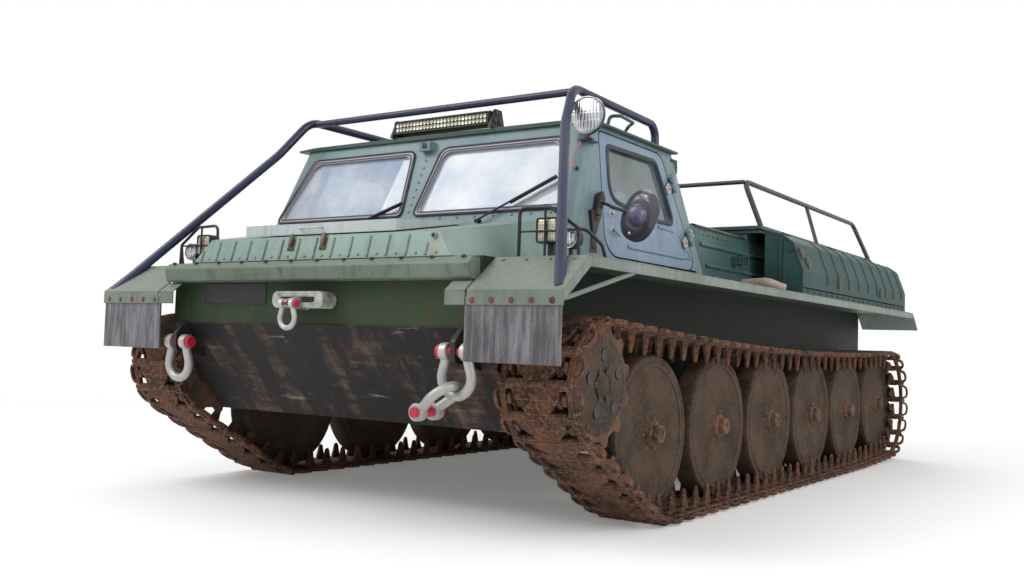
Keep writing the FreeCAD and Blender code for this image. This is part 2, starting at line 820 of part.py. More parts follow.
def mud_flaps():
    """Rubber flaps that hang from the fender noses in front of the sprockets."""
    top = deck_height - fender_drop - fender_front_lip
    front_y = fender_front + fender_plate
    return both(block(hull_half - 10, half_width - 9, front_y, front_y + 8, top - 206, top + 30))


# ---- Load body ----
def load_walls():
    """Side walls of the load space, with pressed ribs; a square pipe stub comes through the left one."""
    low, high = side_half(deck_height), side_half(wall_top)
    outline = [(low - wall_plate, deck_height), (low, deck_height), (high, wall_top), (high - wall_plate, wall_top)]
    side = prism_y(outline, cab_rear_y - 400, body_rear_y).cut(cab_block(0, wall_top + 40, deck_height - 40))
    ribs = []
    for z in (1181, 1290):
        start_y = cab_rear_y - cab_rear_lean * (z - deck_height) + 70
        ribs.append(rod((side_half(z), start_y, z), (side_half(z), box_front_y + 260, z), 11))
    side = side.multiFuse(ribs)
    x, y, z = side_half(wall_top) - 4, box_front_y - 145, 1250
    stub = block(x, x + 66, y - 23, y + 23, z - 23, z + 23).cut(block(x + 6, x + 70, y - 19, y + 19, z - 19, z + 19))
    return Part.makeCompound([side.fuse(stub), mirrored(side)])


def wall_inside(z):
    """Half width between the load space's walls at a height."""
    return side_half(min(z, wall_top)) - wall_plate


def rear_body():
    """Coaming on the walls under the cover, its front header, and the rear wall with the tailgate's opening."""
    front_y, back_y, top = box_front_y, body_rear_y, cover_low
    inside = wall_inside(wall_top)
    strip = block(inside, side_half(wall_top), front_y, back_y, wall_top, top)
    low = wall_top - header_drop
    header = prism_y([(-wall_inside(low), low), (wall_inside(low), low), (inside, wall_top), (inside, top),
                      (-inside, top), (-inside, wall_top)], front_y, front_y + wall_plate)
    foot = wall_inside(deck_height)
    back = prism_y([(-foot, deck_height), (foot, deck_height), (inside, wall_top), (inside, top),
                    (-inside, top), (-inside, wall_top)], back_y - wall_plate, back_y)
    gate = block(-tailgate_half, tailgate_half, back_y - wall_plate - 1, back_y + 1, tailgate_sill, top - 50)
    stands = []
    for x in gate_hinge_places():
        outer_pair, _ = knuckles((x, *gate_hinge_line()), (1, 0, 0), 70, lid_hinge_radius)
        for knuckle in outer_pair:
            box = knuckle.BoundBox
            stands.append(block(box.XMin, box.XMax, back_y - 1, box.YMax - 4, box.ZMin - 20, box.ZMin + 5))
        stands += outer_pair
    return strip.multiFuse([mirrored(strip), header, back.cut(gate)] + stands)


def gate_hinge_places():
    return (-380, 380)


def gate_hinge_line():
    """(y, z) of the tailgate's hinge line, outside the rear wall at the gate's lower edge."""
    return body_rear_y + lid_hinge_radius + 0.4, tailgate_sill + 4


def tailgate():
    """Gate in the rear wall; its hinge straps swing it down."""
    gap = 7
    back_y = body_rear_y
    panel = block(gap - tailgate_half, tailgate_half - gap, back_y - wall_plate, back_y,
                  tailgate_sill + gap, cover_low - 50 - gap)
    straps = []
    line_y, line_z = gate_hinge_line()
    for x in gate_hinge_places():
        _, middle = knuckles((x, line_y, line_z), (1, 0, 0), 70, lid_hinge_radius)
        straps += [middle, block(x - 35, x + 35, back_y - 1, back_y + 6, line_z + 3, line_z + 90)]
    return panel.multiFuse(straps)


def load_cover():
    """Flat cover over the load space, with a raised centre panel and a turned-down rim set in from its edge."""
    front_y, back_y = cover_front_y, body_rear_y + 12
    plate = block(-cover_half, cover_half, front_y, back_y, cover_low, cover_height)
    edge = cover_margin
    panel = block(edge - cover_half, cover_half - edge, front_y + edge, back_y - edge,
                  cover_height, cover_height + cover_panel_rise)
    out, inside = cover_half - 16, cover_half - 24
    rim = block(-out, out, front_y + 14, back_y - 30, cover_low - 22, cover_low)
    rim = rim.cut(block(-inside, inside, front_y + 22, back_y, cover_low - 23, cover_low))
    return joined(plate, panel, rim)


def box_profile(inset):
    """Cross-section of the left side box in (x, z): upright foot, leaning side, rounded shoulder, sloping top."""
    inner = cover_half + box_inner_gap
    return [
        (inner + inset, deck_height + inset, 0),
        (box_half - inset, deck_height + inset, 0),
        (box_half - inset, box_knee - 0.2 * inset, 70),
        (shoulder_half - 0.8 * inset, shoulder_height - 0.5 * inset, 50),
        (shoulder_half - 65 - 0.3 * inset, shoulder_height + 45 - inset, 60),
        (inner + inset, box_top_at(inner) - inset, 0),
    ]


def box_top_at(x):
    """Height of the side box's sloping top, which falls away from the cover's edge."""
    inner = cover_half + box_inner_gap
    slope = (cover_height - 24 - shoulder_height - 45) / (shoulder_half - 65 - inner)
    return cover_height - 24 - slope * (x - inner)


def side_box():
    """Left side box on the fender, open under its curved lid."""
    front_y, back_y = box_front_y, box_rear_y
    outer = prism_y(box_profile(0), front_y, back_y)
    inner = prism_y(box_profile(box_plate), front_y + box_plate, back_y - box_plate)
    mouth = lid_region(front_y + box_flange, back_y - box_flange, 3)
    seam = rod((1125, front_y, deck_height + 14), (1125, front_y, shoulder_height + 22), 4)
    stands = [seam]
    for y in box_hinge_places():
        outer_pair, _ = knuckles(box_hinge_point(y), (0, 1, 0), 70, lid_hinge_radius)
        for knuckle in outer_pair:
            box = knuckle.BoundBox
            stands.append(block(box.XMin + 1, box.XMax - 5, box.YMin, box.YMax, box.ZMin - 3, box.ZMin + 6))
        stands += outer_pair
    return outer.cut(inner).cut(mouth).multiFuse(stands)


def box_hinge_places():
    return (box_front_y + 300, (box_front_y + box_rear_y) / 2, box_rear_y - 300)


def box_hinge_point(y):
    """Point on the left box lid's hinge line, at the inner edge of the lid."""
    x = cover_half + 38
    return x, y, box_top_at(x) + lid_hinge_radius + 1.5


def lid_region(y0, y1, grow):
    """Space that the side box's curved lid takes up."""
    edge = cover_half + 44 - grow
    outline = [
        (box_half + 20, box_sill - grow), (box_half - 30, box_sill - grow), (box_half - 30, box_knee),
        (shoulder_half - 40, shoulder_height - 30), (edge, shoulder_height - 30), (edge, cover_height + 20),
        (box_half + 20, cover_height + 20),
    ]
    return prism_y(outline, y0, y1)


def box_lid():
    """Left box lid: a curved sheet with pressed ribs across it and hinge straps at its inner edge."""
    front_y, back_y = box_front_y + box_flange + 6, box_rear_y - box_flange - 6
    outer = prism_y(box_profile(0), front_y, back_y)
    inner = prism_y(box_profile(box_plate), front_y - 1, back_y + 1)
    lid = outer.cut(inner).common(lid_region(front_y, back_y, -3))
    _, _, knee, shoulder, top, _ = box_profile(0)
    extras = []
    y = box_front_y + 2 * box_rib_pitch
    while y < back_y - 60:
        extras.append(tube([(box_half, y, box_sill + 40, 0), (knee[0], y, knee[1], knee[2]),
                            (shoulder[0], y, shoulder[1], shoulder[2]), (top[0] + 8, y, top[1] - 6, 0)], 5, 0))
        y += box_rib_pitch
    for y in box_hinge_places():
        x, _, z = box_hinge_point(y)
        _, middle = knuckles((x, y, z), (0, 1, 0), 70, lid_hinge_radius)
        strap = prism_y([(x, z + 1), (x + 44, z - 19), (x + 44, z - 27), (x + 14, z - 17), (x, z - 6)], y - 35, y + 35)
        extras += [middle, strap]
    return lid.multiFuse(extras)


def luggage_rail():
    """Tube rail round the load cover: two side hoops with a middle post each, joined across the front."""
    top_x, foot_x = cover_half - 120, cover_half - 15
    front_y, back_y = cover_front_y + 26, body_rear_y - 22
    foot = cover_height
    side = tube([(foot_x, front_y, foot), (top_x, front_y, rail_height), (top_x, back_y - 60, rail_height),
                 (foot_x, back_y, foot)], rail_tube, 60)
    middle_y = front_y + 1120
    post = rod((foot_x, middle_y - 95, foot), (top_x, middle_y, rail_height), rail_tube - 3)
    bar = rod((-top_x, front_y, rail_height - 6), (top_x, front_y, rail_height - 6), rail_tube - 2)
    below = block(-half_width, half_width, front_y - 200, back_y + 200, 0, foot)
    return joined(side, mirrored(side), post, mirrored(post), bar).cut(below)


# ---- Tubes and lamps on the cab ----
def brush_guard():
    """Heavy tubes from the fender corners over the windshield to the roof's rear, with a cross bar."""
    foot_y = fender_front + guard_foot_in
    foot = (half_width - guard_foot_in - 3, foot_y, deck_height - fender_drop + 0.6 * guard_foot_in - 14)
    front_y = roof_front_y - 38
    back_y = cab_rear_top_y - 8
    side = tube([foot, (862, roof_front_y - 192, 1676, 260), (803, front_y, guard_height, 130),
                 (784, back_y, guard_height, 70), (784, back_y, roof_height - 20)], guard_tube, 70)
    bar_y, bar_z = front_y + 32, guard_height - 10
    bar = rod((-800, bar_y, bar_z), (800, bar_y, bar_z), guard_tube - 4)
    roof = block(-half_width, half_width, back_y - 300, back_y + 300, 0, roof_height - 1)
    side = side.cut([under_fender(), roof])
    return joined(side, mirrored(side), bar)


def light_bar():
    """Long lamp between two triangular brackets on the roof's front edge."""
    y = roof_front_y + 20
    base = roof_height
    housing = block(-240, 343, y - 36, y + 30, base + 16, base + 80)
    lens = block(-228, 331, y - 40, y - 30, base + 24, base + 72)
    pieces = [housing, lens]
    for x in (-253, 343):
        pieces.append(prism_x([(y - 54, base), (y + 70, base), (y + 40, base + 92), (y - 10, base + 92)], x, x + 13))
    bracket_foot = block(-253, 356, y + 30, y + 60, base, base + 5)
    return joined(*pieces, bracket_foot).cut(prism_y([(-half_width, 0), (half_width, 0), (half_width, base - 1),
                                                       (-half_width, base - 1)], y - 300, y + 300))


def searchlight():
    """Round lamp on a bracket at the cab's left front corner, with the gland of its lead."""
    r = searchlight_radius
    centre = Vector(898, roof_front_y - 62, roof_height - 10)
    forward = Vector(0, -1, 0)
    rim = Part.makeCylinder(r, 18, centre, forward)
    lens = Part.makeSphere(260, centre + Vector(0, 236, 0)).common(Part.makeCylinder(r - 7, 40, centre, forward))
    bowl = Part.makeCone(r - 2, r - 26, 34, centre, forward * -1)
    cap = Part.makeCone(r - 26, r - 48, 12, centre + Vector(0, 34, 0), forward * -1)
    foot_z = centre.z - r - 12
    stem = rod((centre.x, centre.y + 8, foot_z), (centre.x, centre.y + 8, foot_z + 16), 9)
    plate = block(850, 902, centre.y - 6, centre.y + 92, foot_z - 6, foot_z)
    ear = block(centre.x - 6, centre.x + 22, centre.y + 2, centre.y + 16, foot_z - 14, foot_z)
    return joined(rim, lens, bowl, cap, stem, plate, ear).cut(cab_outer())


def front_face_y(z):
    """Station of the windshield frame's outer face at a height."""
    return windshield_y + windshield_lean * (z - windshield_height)


def lead_gland():
    """Where the searchlight's lead enters the corner pillar, and the direction its gland points."""
    z = windshield_height + 186
    return Vector(866, front_face_y(z), z), Vector(0, -1, windshield_lean).normalize()


def searchlight_gland():
    """Gland on the corner pillar."""
    place, out = lead_gland()
    return Part.makeCylinder(9, 16, place - out * 10, out).cut(cab_outer())


def lead_route():
    """Points of the searchlight's lead, from the bracket's underside round to the gland."""
    place, out = lead_gland()
    x, y, z = 860, roof_front_y - 62, roof_height - 10 - searchlight_radius - 18
    turn, end = place + out * 34, place + out * 6
    return [(x, y, z), (x, y, z - 22), (x - 20, y - 10, z - 36), (x - 38, y - 26, z - 52), (x - 32, y - 46, z - 72),
            (turn.x - 24, turn.y + 4, turn.z + 24), (turn.x, turn.y, turn.z), (end.x, end.y, end.z)]


def searchlight_lead():
    """Thin lead that hangs free between the searchlight's foot and the gland on the pillar."""
    places = [Vector(*p) for p in lead_route()]
    points = []
    for i, place in enumerate(places):
        radius = 0
        if 0 < i < len(places) - 1:
            back, ahead = places[i - 1] - place, places[i + 1] - place
            turn = pi - back.getAngle(ahead)
            radius = 0.45 * min(back.Length, ahead.Length) / tan(turn / 2)
            print("lead bend", i, "radius", round(radius, 1), "turn", round(degrees(turn)))
        points.append((place.x, place.y, place.z, radius))
    path = route(points, 0)
    lead = tube(points, lead_radius, 0)
    print("lead length", round(path.Length, 1), "volume ratio", lead.Volume / (pi * lead_radius ** 2 * path.Length))
    return lead


def headlamps():
    """Rectangular and round lamps on the fenders, and the small work lamp behind the cab's left corner."""
    y = fender_front + lamp_setback - 28
    z = deck_height
    square = prism_y([(953, z + 66), (1051, z + 66), (1051, z + 166), (953, z + 166)], y - 26, y + 30, 14)
    back = prism_y([(972, z + 84), (1032, z + 84), (1032, z + 148), (972, z + 148)], y + 30, y + 52, 14)
    post = block(990, 1014, y + 4, y + 20, z, z + 70)
    foot = block(966, 1038, y - 14, y + 34, z, z + 5)
    round_x, round_y = 1097, y
    round_lamp = rod((round_x, round_y - 24, z + 84), (round_x, round_y + 22, z + 84), 42)
    shade = Part.makeCone(41, 22, 26, Vector(round_x, round_y + 22, z + 84), Vector(0, 1, 0))
    leg = rod((round_x, round_y, z), (round_x, round_y, z + 50), 9)
    left = [joined(square, back, post, foot), joined(round_lamp, shade, leg)]
    work_y, work_z = cab_rear_top_y + cab_rear_lean * (roof_seat - 1662), 1662
    work = block(818, 874, work_y - 40, work_y + 42, work_z - 34, work_z + 34).cut(cab_block(0, roof_seat, deck_height))
    bezel = rod((846, work_y + 42, work_z), (846, work_y + 52, work_z), 25)
    return Part.makeCompound(left + [mirrored(s) for s in left] + [work.fuse(bezel)])


def lamp_guards():
    """Strap cages in front of the lamps, with a cut corner under the guard tube and a stay to the deck."""
    y = fender_front + cage_setback - 55
    z = deck_height
    hoop = tube([(884, y, z), (884, y, z + 206, 28), (1026, y, z + 202, 20), (1150, y, z + 118, 16), (1156, y, z)], 7, 20)
    bar = rod((886, y, z + 112), (1150, y, z + 112), 4)
    low_bar = rod((884, y, z + 7), (1156, y, z + 7), 5)
    middle = rod((1004, y, z + 4), (1002, y, z + 202), 5)
    stay = tube([(1150, y, z + 114), (1176, y + 20, z + 112), (1220, y + 62, z + 58), (1229, y + 80, z)], 7, 40)
    cage = joined(hoop, bar, low_bar, middle, stay)
    return both(cage.cut(block(800, half_width, y - 50, y + 150, z - 30, z)))


def mirror():
    """Oval outside mirror: head with a round boss, arm, and the clamp and plate on the left front pillar."""
    centre = Vector(1137, windshield_y + 146, 1290)
    head = prism_y([(-96, -62), (-96, 62), (-52, 116), (52, 116), (96, 62), (96, -62), (52, -116), (-52, -116)],
                   0, 20, 62)
    head = head.fuse(prism_y([(-82, -54), (-82, 54), (-45, 102), (45, 102), (82, 54), (82, -54), (45, -102),
                              (-45, -102)], -7, 1, 55))
    boss = Part.makeCone(44, 36, 24, Vector(0, 0, 0), Vector(0, -1, 0))
    head = head.fuse(boss)
    head.rotate(Vector(0, 0, 0), Vector(0, 1, 0), 28)
    head.rotate(Vector(0, 0, 0), Vector(0, 0, 1), -8)
    head.translate(centre)
    x = side_half(1230) + 4
    plate_y = windshield_y + 117
    plate = prism_x([(plate_y - 8, 1136), (plate_y + 62, 1140), (plate_y + 44, 1215), (plate_y + 96, 1318),
                     (plate_y + 2, 1322), (plate_y + 20, 1215)], side_half(1320), x + 6)
    clamp = prism_x([(plate_y + 30, 1306), (plate_y + 58, 1300), (plate_y + 108, 1382), (plate_y + 88, 1412),
                     (plate_y + 68, 1400)], side_half(1350), x + 16, 6)
    arm = tube([(x + 4, plate_y + 78, 1360), (x + 60, plate_y + 56, 1346), (centre.x - 30, centre.y - 16, 1302)], 8, 40)
    return joined(head, plate, clamp, arm).cut(cab_outer())


# ---- Running gear ----
def track_route():
    """Points of the pin line, spaced by equal chords, and the link count."""
    flat = wheel_radius + pin_offset
    bent = hypot(flat, link_pitch / 2)
    circles = [(sprocket_y, sprocket_height, sprocket_teeth * link_pitch / (2 * pi)),
               (first_wheel_y, wheel_height, bent),
               (wheel_stations[-1], wheel_height, flat),
               (idler_y, idler_height, bent)]
    samples = []
    tangents = []
    for (y0, z0, r0), (y1, z1, r1) in zip(circles, circles[1:] + circles[:1]):
        gap = hypot(y1 - y0, z1 - z0)
        lean = atan2(z1 - z0, y1 - y0)
        turn = lean - pi / 2 - asin((r1 - r0) / gap)
        tangents.append(turn)
    for i, (y, z, r) in enumerate(circles):
        start = tangents[i - 1]
        sweep = (tangents[i] - start) % (2 * pi)
        steps = max(2, ceil(sweep / radians(1)))
        for k in range(steps + 1):
            a = start + sweep * k / steps
            samples.append((y + r * cos(a), max(z + r * sin(a), pin_offset)))
    sag_from, sag_to = samples[-1], samples[0]
    runs = 60
    for k in range(1, runs):
        t = k / runs
        samples.append((sag_from[0] + (sag_to[0] - sag_from[0]) * t,
                        sag_from[1] + (sag_to[1] - sag_from[1]) * t - 4 * top_run_sag * t * (1 - t)))
    return samples


def track_pins():
    """Pins spread evenly along the pin line, starting at the sprocket's front."""
    line = track_route()
    line.append(line[0])
    lengths = [0]
    for a, b in zip(line, line[1:]):
        lengths.append(lengths[-1] + hypot(b[0] - a[0], b[1] - a[1]))
    count = round(lengths[-1] / link_pitch)
    pins = []
    k = 0
    for i in range(count):
        target = lengths[-1] * i / count
        while lengths[k + 1] < target:
            k += 1
        t = (target - lengths[k]) / (lengths[k + 1] - lengths[k])
        pins.append((line[k][0] + (line[k + 1][0] - line[k][0]) * t,
                     line[k][1] + (line[k + 1][1] - line[k][1]) * t))
    return pins


def track():
    """Left track: one closed loop whose outline shows each shoe, with two guide horns on every link."""
    pins = track_pins()
    outer, inner, horns = [], [], []
    count = len(pins)
    for i in range(count):
        y0, z0 = pins[i]
        y1, z1 = pins[(i + 1) % count]
        span = hypot(y1 - y0, z1 - z0)
        along = ((y1 - y0) / span, (z1 - z0) / span)
        out = (along[1], -along[0])
        outer.append(offset(pins[i], along, out, link_gap / 2, pin_offset - 9))
        outer.append(offset(pins[i], along, out, link_gap, pin_offset))
        outer.append(offset(pins[i], along, out, span - link_gap / 2, pin_offset))
        inner.append(pins[i])
        root, tip = 34, 12
        shape = [offset(pins[i], along, out, span / 2 - root, -pin_offset + 4),
                 offset(pins[i], along, out, span / 2 + root, -pin_offset + 4),
                 offset(pins[i], along, out, span / 2 + tip, -pin_offset - horn_height),
                 offset(pins[i], along, out, span / 2 - tip, -pin_offset - horn_height)]
        for side in (-1, 1):
            x = track_x + side * horn_spread / 2
            horns.append(prism_x(shape, x - 13, x + 13))
    x0, x1 = track_x - track_width / 2, track_x + track_width / 2
    ring = prism_x(outer, x0, x1)
    bore = prism_x(inset_loop(inner, pin_offset), x0 - 1, x1 + 1)
    return ring.cut(bore).multiFuse(horns).cut(tooth_pockets(pins))


def tooth_pockets(pins):
    """Windows in the links that lie on the sprocket, one for each tooth."""
    cutters = []
    centre = (sprocket_y, sprocket_height)
    for (y0, z0), (y1, z1) in zip(pins, pins[1:] + pins[:1]):
        middle = ((y0 + y1) / 2, (z0 + z1) / 2)
        if hypot(middle[0] - centre[0], middle[1] - centre[1]) > sprocket_radius + 24:
            continue
        span = hypot(y1 - y0, z1 - z0)
        along = ((y1 - y0) / span, (z1 - z0) / span)
        out = (along[1], -along[0])
        for side in (-1, 1):
            x = track_x + side * ring_spread()
            reach = pocket_length / 2
            corners = [offset(middle, along, out, f, o)
                       for f, o in ((-reach, -60), (reach, -60), (reach, 60), (-reach, 60))]
            cutters.append(prism_x(corners, x - tooth_width / 2 - 4, x + tooth_width / 2 + 4))
    return cutters


def ring_spread():
    return horn_spread / 2 + 32


def offset(pin, along, out, forward, outward):
    return (pin[0] + along[0] * forward + out[0] * outward, pin[1] + along[1] * forward + out[1] * outward)


def inset_loop(points, distance):
    """Loop of pin places moved in towards the wheels."""
    moved = []
    count = len(points)
    for i, (y, z) in enumerate(points):
        ya, za = points[i - 1]
        yb, zb = points[(i + 1) % count]
        span = hypot(yb - ya, zb - za)
        moved.append((y - (zb - za) / span * distance, z + (yb - ya) / span * distance))
    return moved


def wheel(y, z):
    """Disc wheel with a rubber tyre, dished disc and hub cap, on a short axle stub."""
    r = wheel_radius - wheel_clearance
    half = wheel_face / 2
    outline = [(0, -half - 20), (78, -half - 20), (r - 64, -14), (r - 58, -half), (r, -half),
               (r, half), (r - 58, half), (r - 64, 4), (90, half - 30), (84, half), (0, half)]
    wire = Part.makePolygon([Vector(p[1], p[0], 0) for p in outline + outline[:1]])
    solid = Part.Face(wire).revolve(Vector(0, 0, 0), Vector(1, 0, 0), 360)
    solid.translate(Vector(track_x, y, z))
    return solid


def road_wheels():
    pieces = [wheel(y, wheel_height) for y in wheel_stations]
    pieces.append(wheel(idler_y, idler_height))
    return pieces


def sprocket():
    """Left sprocket: a hub drum with two toothed rings that stand each side of the guide horns."""
    root = sprocket_radius * cos(pi / sprocket_teeth) - pin_offset - 6
    tip = sprocket_radius - 2
    ring_x = ring_spread()
    points = []
    step = 2 * pi / sprocket_teeth
    pins = track_pins()
    phase = sum(atan2(z - sprocket_height, y - sprocket_y) % (2 * pi) for y, z in pins[2:4]) / 2
    for i in range(sprocket_teeth):
        middle = phase + i * step
        for a, r in ((-0.27, root), (-0.12, tip), (0.12, tip), (0.27, root)):
            angle = middle + a * step
            points.append((sprocket_y + r * cos(angle), sprocket_height + r * sin(angle)))
    pieces = []
    for side in (-1, 1):
        x = track_x + side * ring_x
        ring = prism_x(points, x - tooth_width / 2, x + tooth_width / 2)
        pieces.append(ring)
    drum = rod((track_x - ring_x, sprocket_y, sprocket_height), (track_x + ring_x, sprocket_y, sprocket_height), 118)
    return joined(drum, *pieces)


def suspension_arms():
    """Trailing arms and axle stubs that carry the wheels, and the final drives behind the sprockets."""
    pieces = []
    inside = hull_half
    for y in wheel_stations:
        pivot = (y - arm_length * 0.95, belly_height + 60)
        arm = prism_x([(pivot[0] - 32, pivot[1], 25), (pivot[0] + 10, pivot[1] + 42, 25),
                       (y + 30, wheel_height + 25, 25), (y + 30, wheel_height - 25, 25),
                       (pivot[0] + 10, pivot[1] - 35, 25)], inside + 12, inside + 50)
        boss = rod((inside, pivot[0], pivot[1]), (inside + 50, pivot[0], pivot[1]), 45)
        stub = rod((inside + 30, y, wheel_height), (track_x - wheel_face / 2 - 20, y, wheel_height), 30)
        pieces.append(joined(arm, boss, stub))
    crank = rod((inside, idler_y, idler_height), (track_x - wheel_face / 2 - 20, idler_y, idler_height), 36)
    flange = rod((inside, idler_y, idler_height), (inside + 22, idler_y, idler_height), 70)
    pieces.append(crank.fuse(flange))
    drive = rod((inside, sprocket_y, sprocket_height), (track_x - horn_spread / 2 - 39, sprocket_y, sprocket_height),
                105)
    pieces.append(drive)
    return Part.makeCompound(pieces + [mirrored(p) for p in pieces])


# ---- Inside ----
def seats():
    """Two plain bucket seats, driver on the left; base, cushion and back are separate closed solids."""
    y = windshield_y + 430
    base = prism_x([(y + 40, floor_height), (y + 400, floor_height), (y + 400, 881), (y + 40, 897.8)], 380, 740)
    cushion = prism_x([(y, 900), (y + 430, 880), (y + 430, 985, 30), (y, 1010, 30)], 330, 790)
    back = prism_x([(y + 430.4, 900), (y + 520, 900), (y + 600, 1490, 25), (y + 520, 1500, 25)], 340, 780)
    pieces = [base, cushion, back]
    return Part.makeCompound(pieces + [mirrored(p) for p in pieces])


def controls():
    """Dashboard, two steering levers and the pedals."""
    y = windshield_y + 20
    board = prism_x([(y - 200, 1080), (y - 200, 1250), (y + 110, 1250), (y + 170, 1120), (y + 170, 1080)],
                    -half_width, half_width)
    board = board.common(cab_block(cab_wall))
    levers = []
    for x in (470, 650):
        levers.append(tube([(x, y + 330, floor_height), (x, y + 330, 980), (x, y + 360, 1230)], 12, 60))
    return Part.makeCompound([board] + levers)


def engine_block():
    """Engine under its cover between the seats."""
    y = windshield_y + engine_setback
    half, low = engine_half, belly_height + hull_plate
    return prism_y([(-half, low), (half, low), (half, 1040), (half - 70, 1110), (70 - half, 1110), (-half, 1040)],
                   y, y + engine_length)


def exhaust_pipe():
    """Curved outlet pipe over the left fender, ahead of the side box."""
    y = box_front_y - 112
    inside = prism_y([(0, deck_height), (side_half(deck_height), deck_height), (side_half(wall_top), wall_top),
                      (0, wall_top)], y - 100, y + 100)
    deck = block(0, half_width, y - 200, y + 300, deck_height - 60, deck_height)
    pipe = tube([(900, y, 1118), (1075, y - 8, 1126), (1152, y + 52, 1092)], 27, 60)
    return pipe.cut([inside, deck])


def tow_hook():
    """Rear towing hook on its plate."""
    y = rear_y
    plate = block(-110, 110, y, y + 20, 720, 920)
    hook = prism_x([(y + 15, 790), (y + 120, 790), (y + 160, 750), (rear, 760), (rear, 830), (y + 170, 870),
                    (y + 15, 850)], -26, 26, 12)
    hole = rod((-40, y + 178, 805), (40, y + 178, 805), 24)
    return plate.fuse(hook).cut(hole)


os.makedirs("parts", exist_ok=True)
save("hull_tub", hull_tub())
save("floor_plates", floor_plates())
save("bow_fittings", bow_fittings())
save("tow_shackles", tow_shackles())
save("hood", hood())
save("hood_lid", hood_lid())
walls = cab_walls()
save("cab_front", cab_front(walls))
save("cab_rear", cab_rear(walls))
save("cab_sides", cab_sides(walls))
save("cab_roof", cab_roof())
save("roof_hatch", roof_hatch())
save("window_glass", windshield_glass())
save("window_seals", window_seals())
save("wipers", wipers())
save("left_door", door())
save("right_door", mirrored(door()))
save("left_door_glass", door_glass())
save("right_door_glass", mirrored(door_glass()))
plate, lip = fender(), fender_lip()
save("fenders", Part.makeCompound([plate, mirrored(plate), lip, mirrored(lip)]))
save("mud_flaps", mud_flaps())
save("load_walls", load_walls())
save("rear_body", rear_body())
save("tailgate", tailgate())
save("load_cover", load_cover())
save("side_boxes", both(side_box()))
save("left_box_lid", box_lid())
save("right_box_lid", mirrored(box_lid()))
save("luggage_rail", luggage_rail())
save("brush_guard", brush_guard())
save("light_bar", light_bar())
save("searchlight", Part.makeCompound([searchlight(), searchlight_gland()]))
save("searchlight_lead", searchlight_lead())
save("lamps", headlamps())
save("lamp_guards", lamp_guards())
save("mirror", mirror())
left_track = track()
save("left_track", left_track)
save("right_track", mirrored(left_track))
left_wheels = road_wheels()
save("road_wheels", Part.makeCompound(left_wheels + [mirrored(w) for w in left_wheels]))
save("sprockets", both(sprocket()))
save("suspension_arms", suspension_arms())
save("seats", seats())
save("controls", controls())
save("engine_block", engine_block())
save("exhaust_pipe", exhaust_pipe())
save("tow_hook", tow_hook())
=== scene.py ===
"""Looks of a light tracked all-terrain carrier: a green and grey two-seat cab on a steel tub, between cast
steel tracks, with tube guards, lamps, side boxes and a luggage rail. Metres, +Z up, the front faces -Y."""

import bmesh
import bpy
import numpy as np
from mathutils import Euler, Matrix, Vector


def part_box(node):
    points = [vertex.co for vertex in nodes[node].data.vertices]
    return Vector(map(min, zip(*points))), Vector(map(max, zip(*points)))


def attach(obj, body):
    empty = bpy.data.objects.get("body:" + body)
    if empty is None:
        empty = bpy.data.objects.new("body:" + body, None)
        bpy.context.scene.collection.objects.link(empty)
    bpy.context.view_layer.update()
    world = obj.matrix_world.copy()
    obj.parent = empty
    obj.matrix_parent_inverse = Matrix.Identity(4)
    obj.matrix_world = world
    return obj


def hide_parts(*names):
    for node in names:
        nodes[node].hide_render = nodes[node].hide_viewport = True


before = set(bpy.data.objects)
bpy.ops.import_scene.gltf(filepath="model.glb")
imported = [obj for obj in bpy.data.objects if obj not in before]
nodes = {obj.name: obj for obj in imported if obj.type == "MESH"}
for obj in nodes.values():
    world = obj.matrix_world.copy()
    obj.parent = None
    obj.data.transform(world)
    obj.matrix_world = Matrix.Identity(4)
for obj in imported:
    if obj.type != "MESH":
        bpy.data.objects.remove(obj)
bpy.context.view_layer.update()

# ---- Camera, light and floor ----
# A low three-quarter view from the vehicle's front left, about waist high, tilted a little to one side.
# The light is a soft overcast one with a weak sun from the front; the floor and the backdrop are pale.
yaw, pitch, roll = np.radians([34.1, 3.1, 1.8])
ahead = Vector((-np.sin(yaw) * np.cos(pitch), np.cos(yaw) * np.cos(pitch), np.sin(pitch)))
level = ahead.cross(Vector((0, 0, 1))).normalized()
right = level * np.cos(roll) + level.cross(ahead) * np.sin(roll)
upward = right.cross(ahead)
lens = bpy.data.cameras.new("view")
lens.sensor_width = 36
lens.lens = 36.12305
lens.clip_end = 100
camera = bpy.data.objects.new("view", lens)
camera.matrix_world = Matrix((right, upward, -ahead)).transposed().to_4x4()
camera.location = (3.108, -5.624, 0.733)
bpy.context.collection.objects.link(camera)
scene = bpy.context.scene
scene.camera = camera
scene.view_settings.view_transform = "Standard"


def node(tree, kind, sockets=None, **settings):
    """Adds a shader node; sockets maps an input's name or number to a value or to another node's output."""
    made = tree.nodes.new(kind)
    for name, value in settings.items():
        setattr(made, name, value)
    for name, value in (sockets or {}).items():
        if isinstance(value, bpy.types.NodeSocket):
            tree.links.new(value, made.inputs[name])
        else:
            made.inputs[name].default_value = value
    return made


def either(tree, *rays):
    """1 where the ray is one of the given kinds."""
    path = node(tree, "ShaderNodeLightPath")
    total = path.outputs[rays[0]]
    for ray in rays[1:]:
        total = node(tree, "ShaderNodeMath", {0: total, 1: path.outputs[ray]},
                     operation="MAXIMUM").outputs[0]
    return total


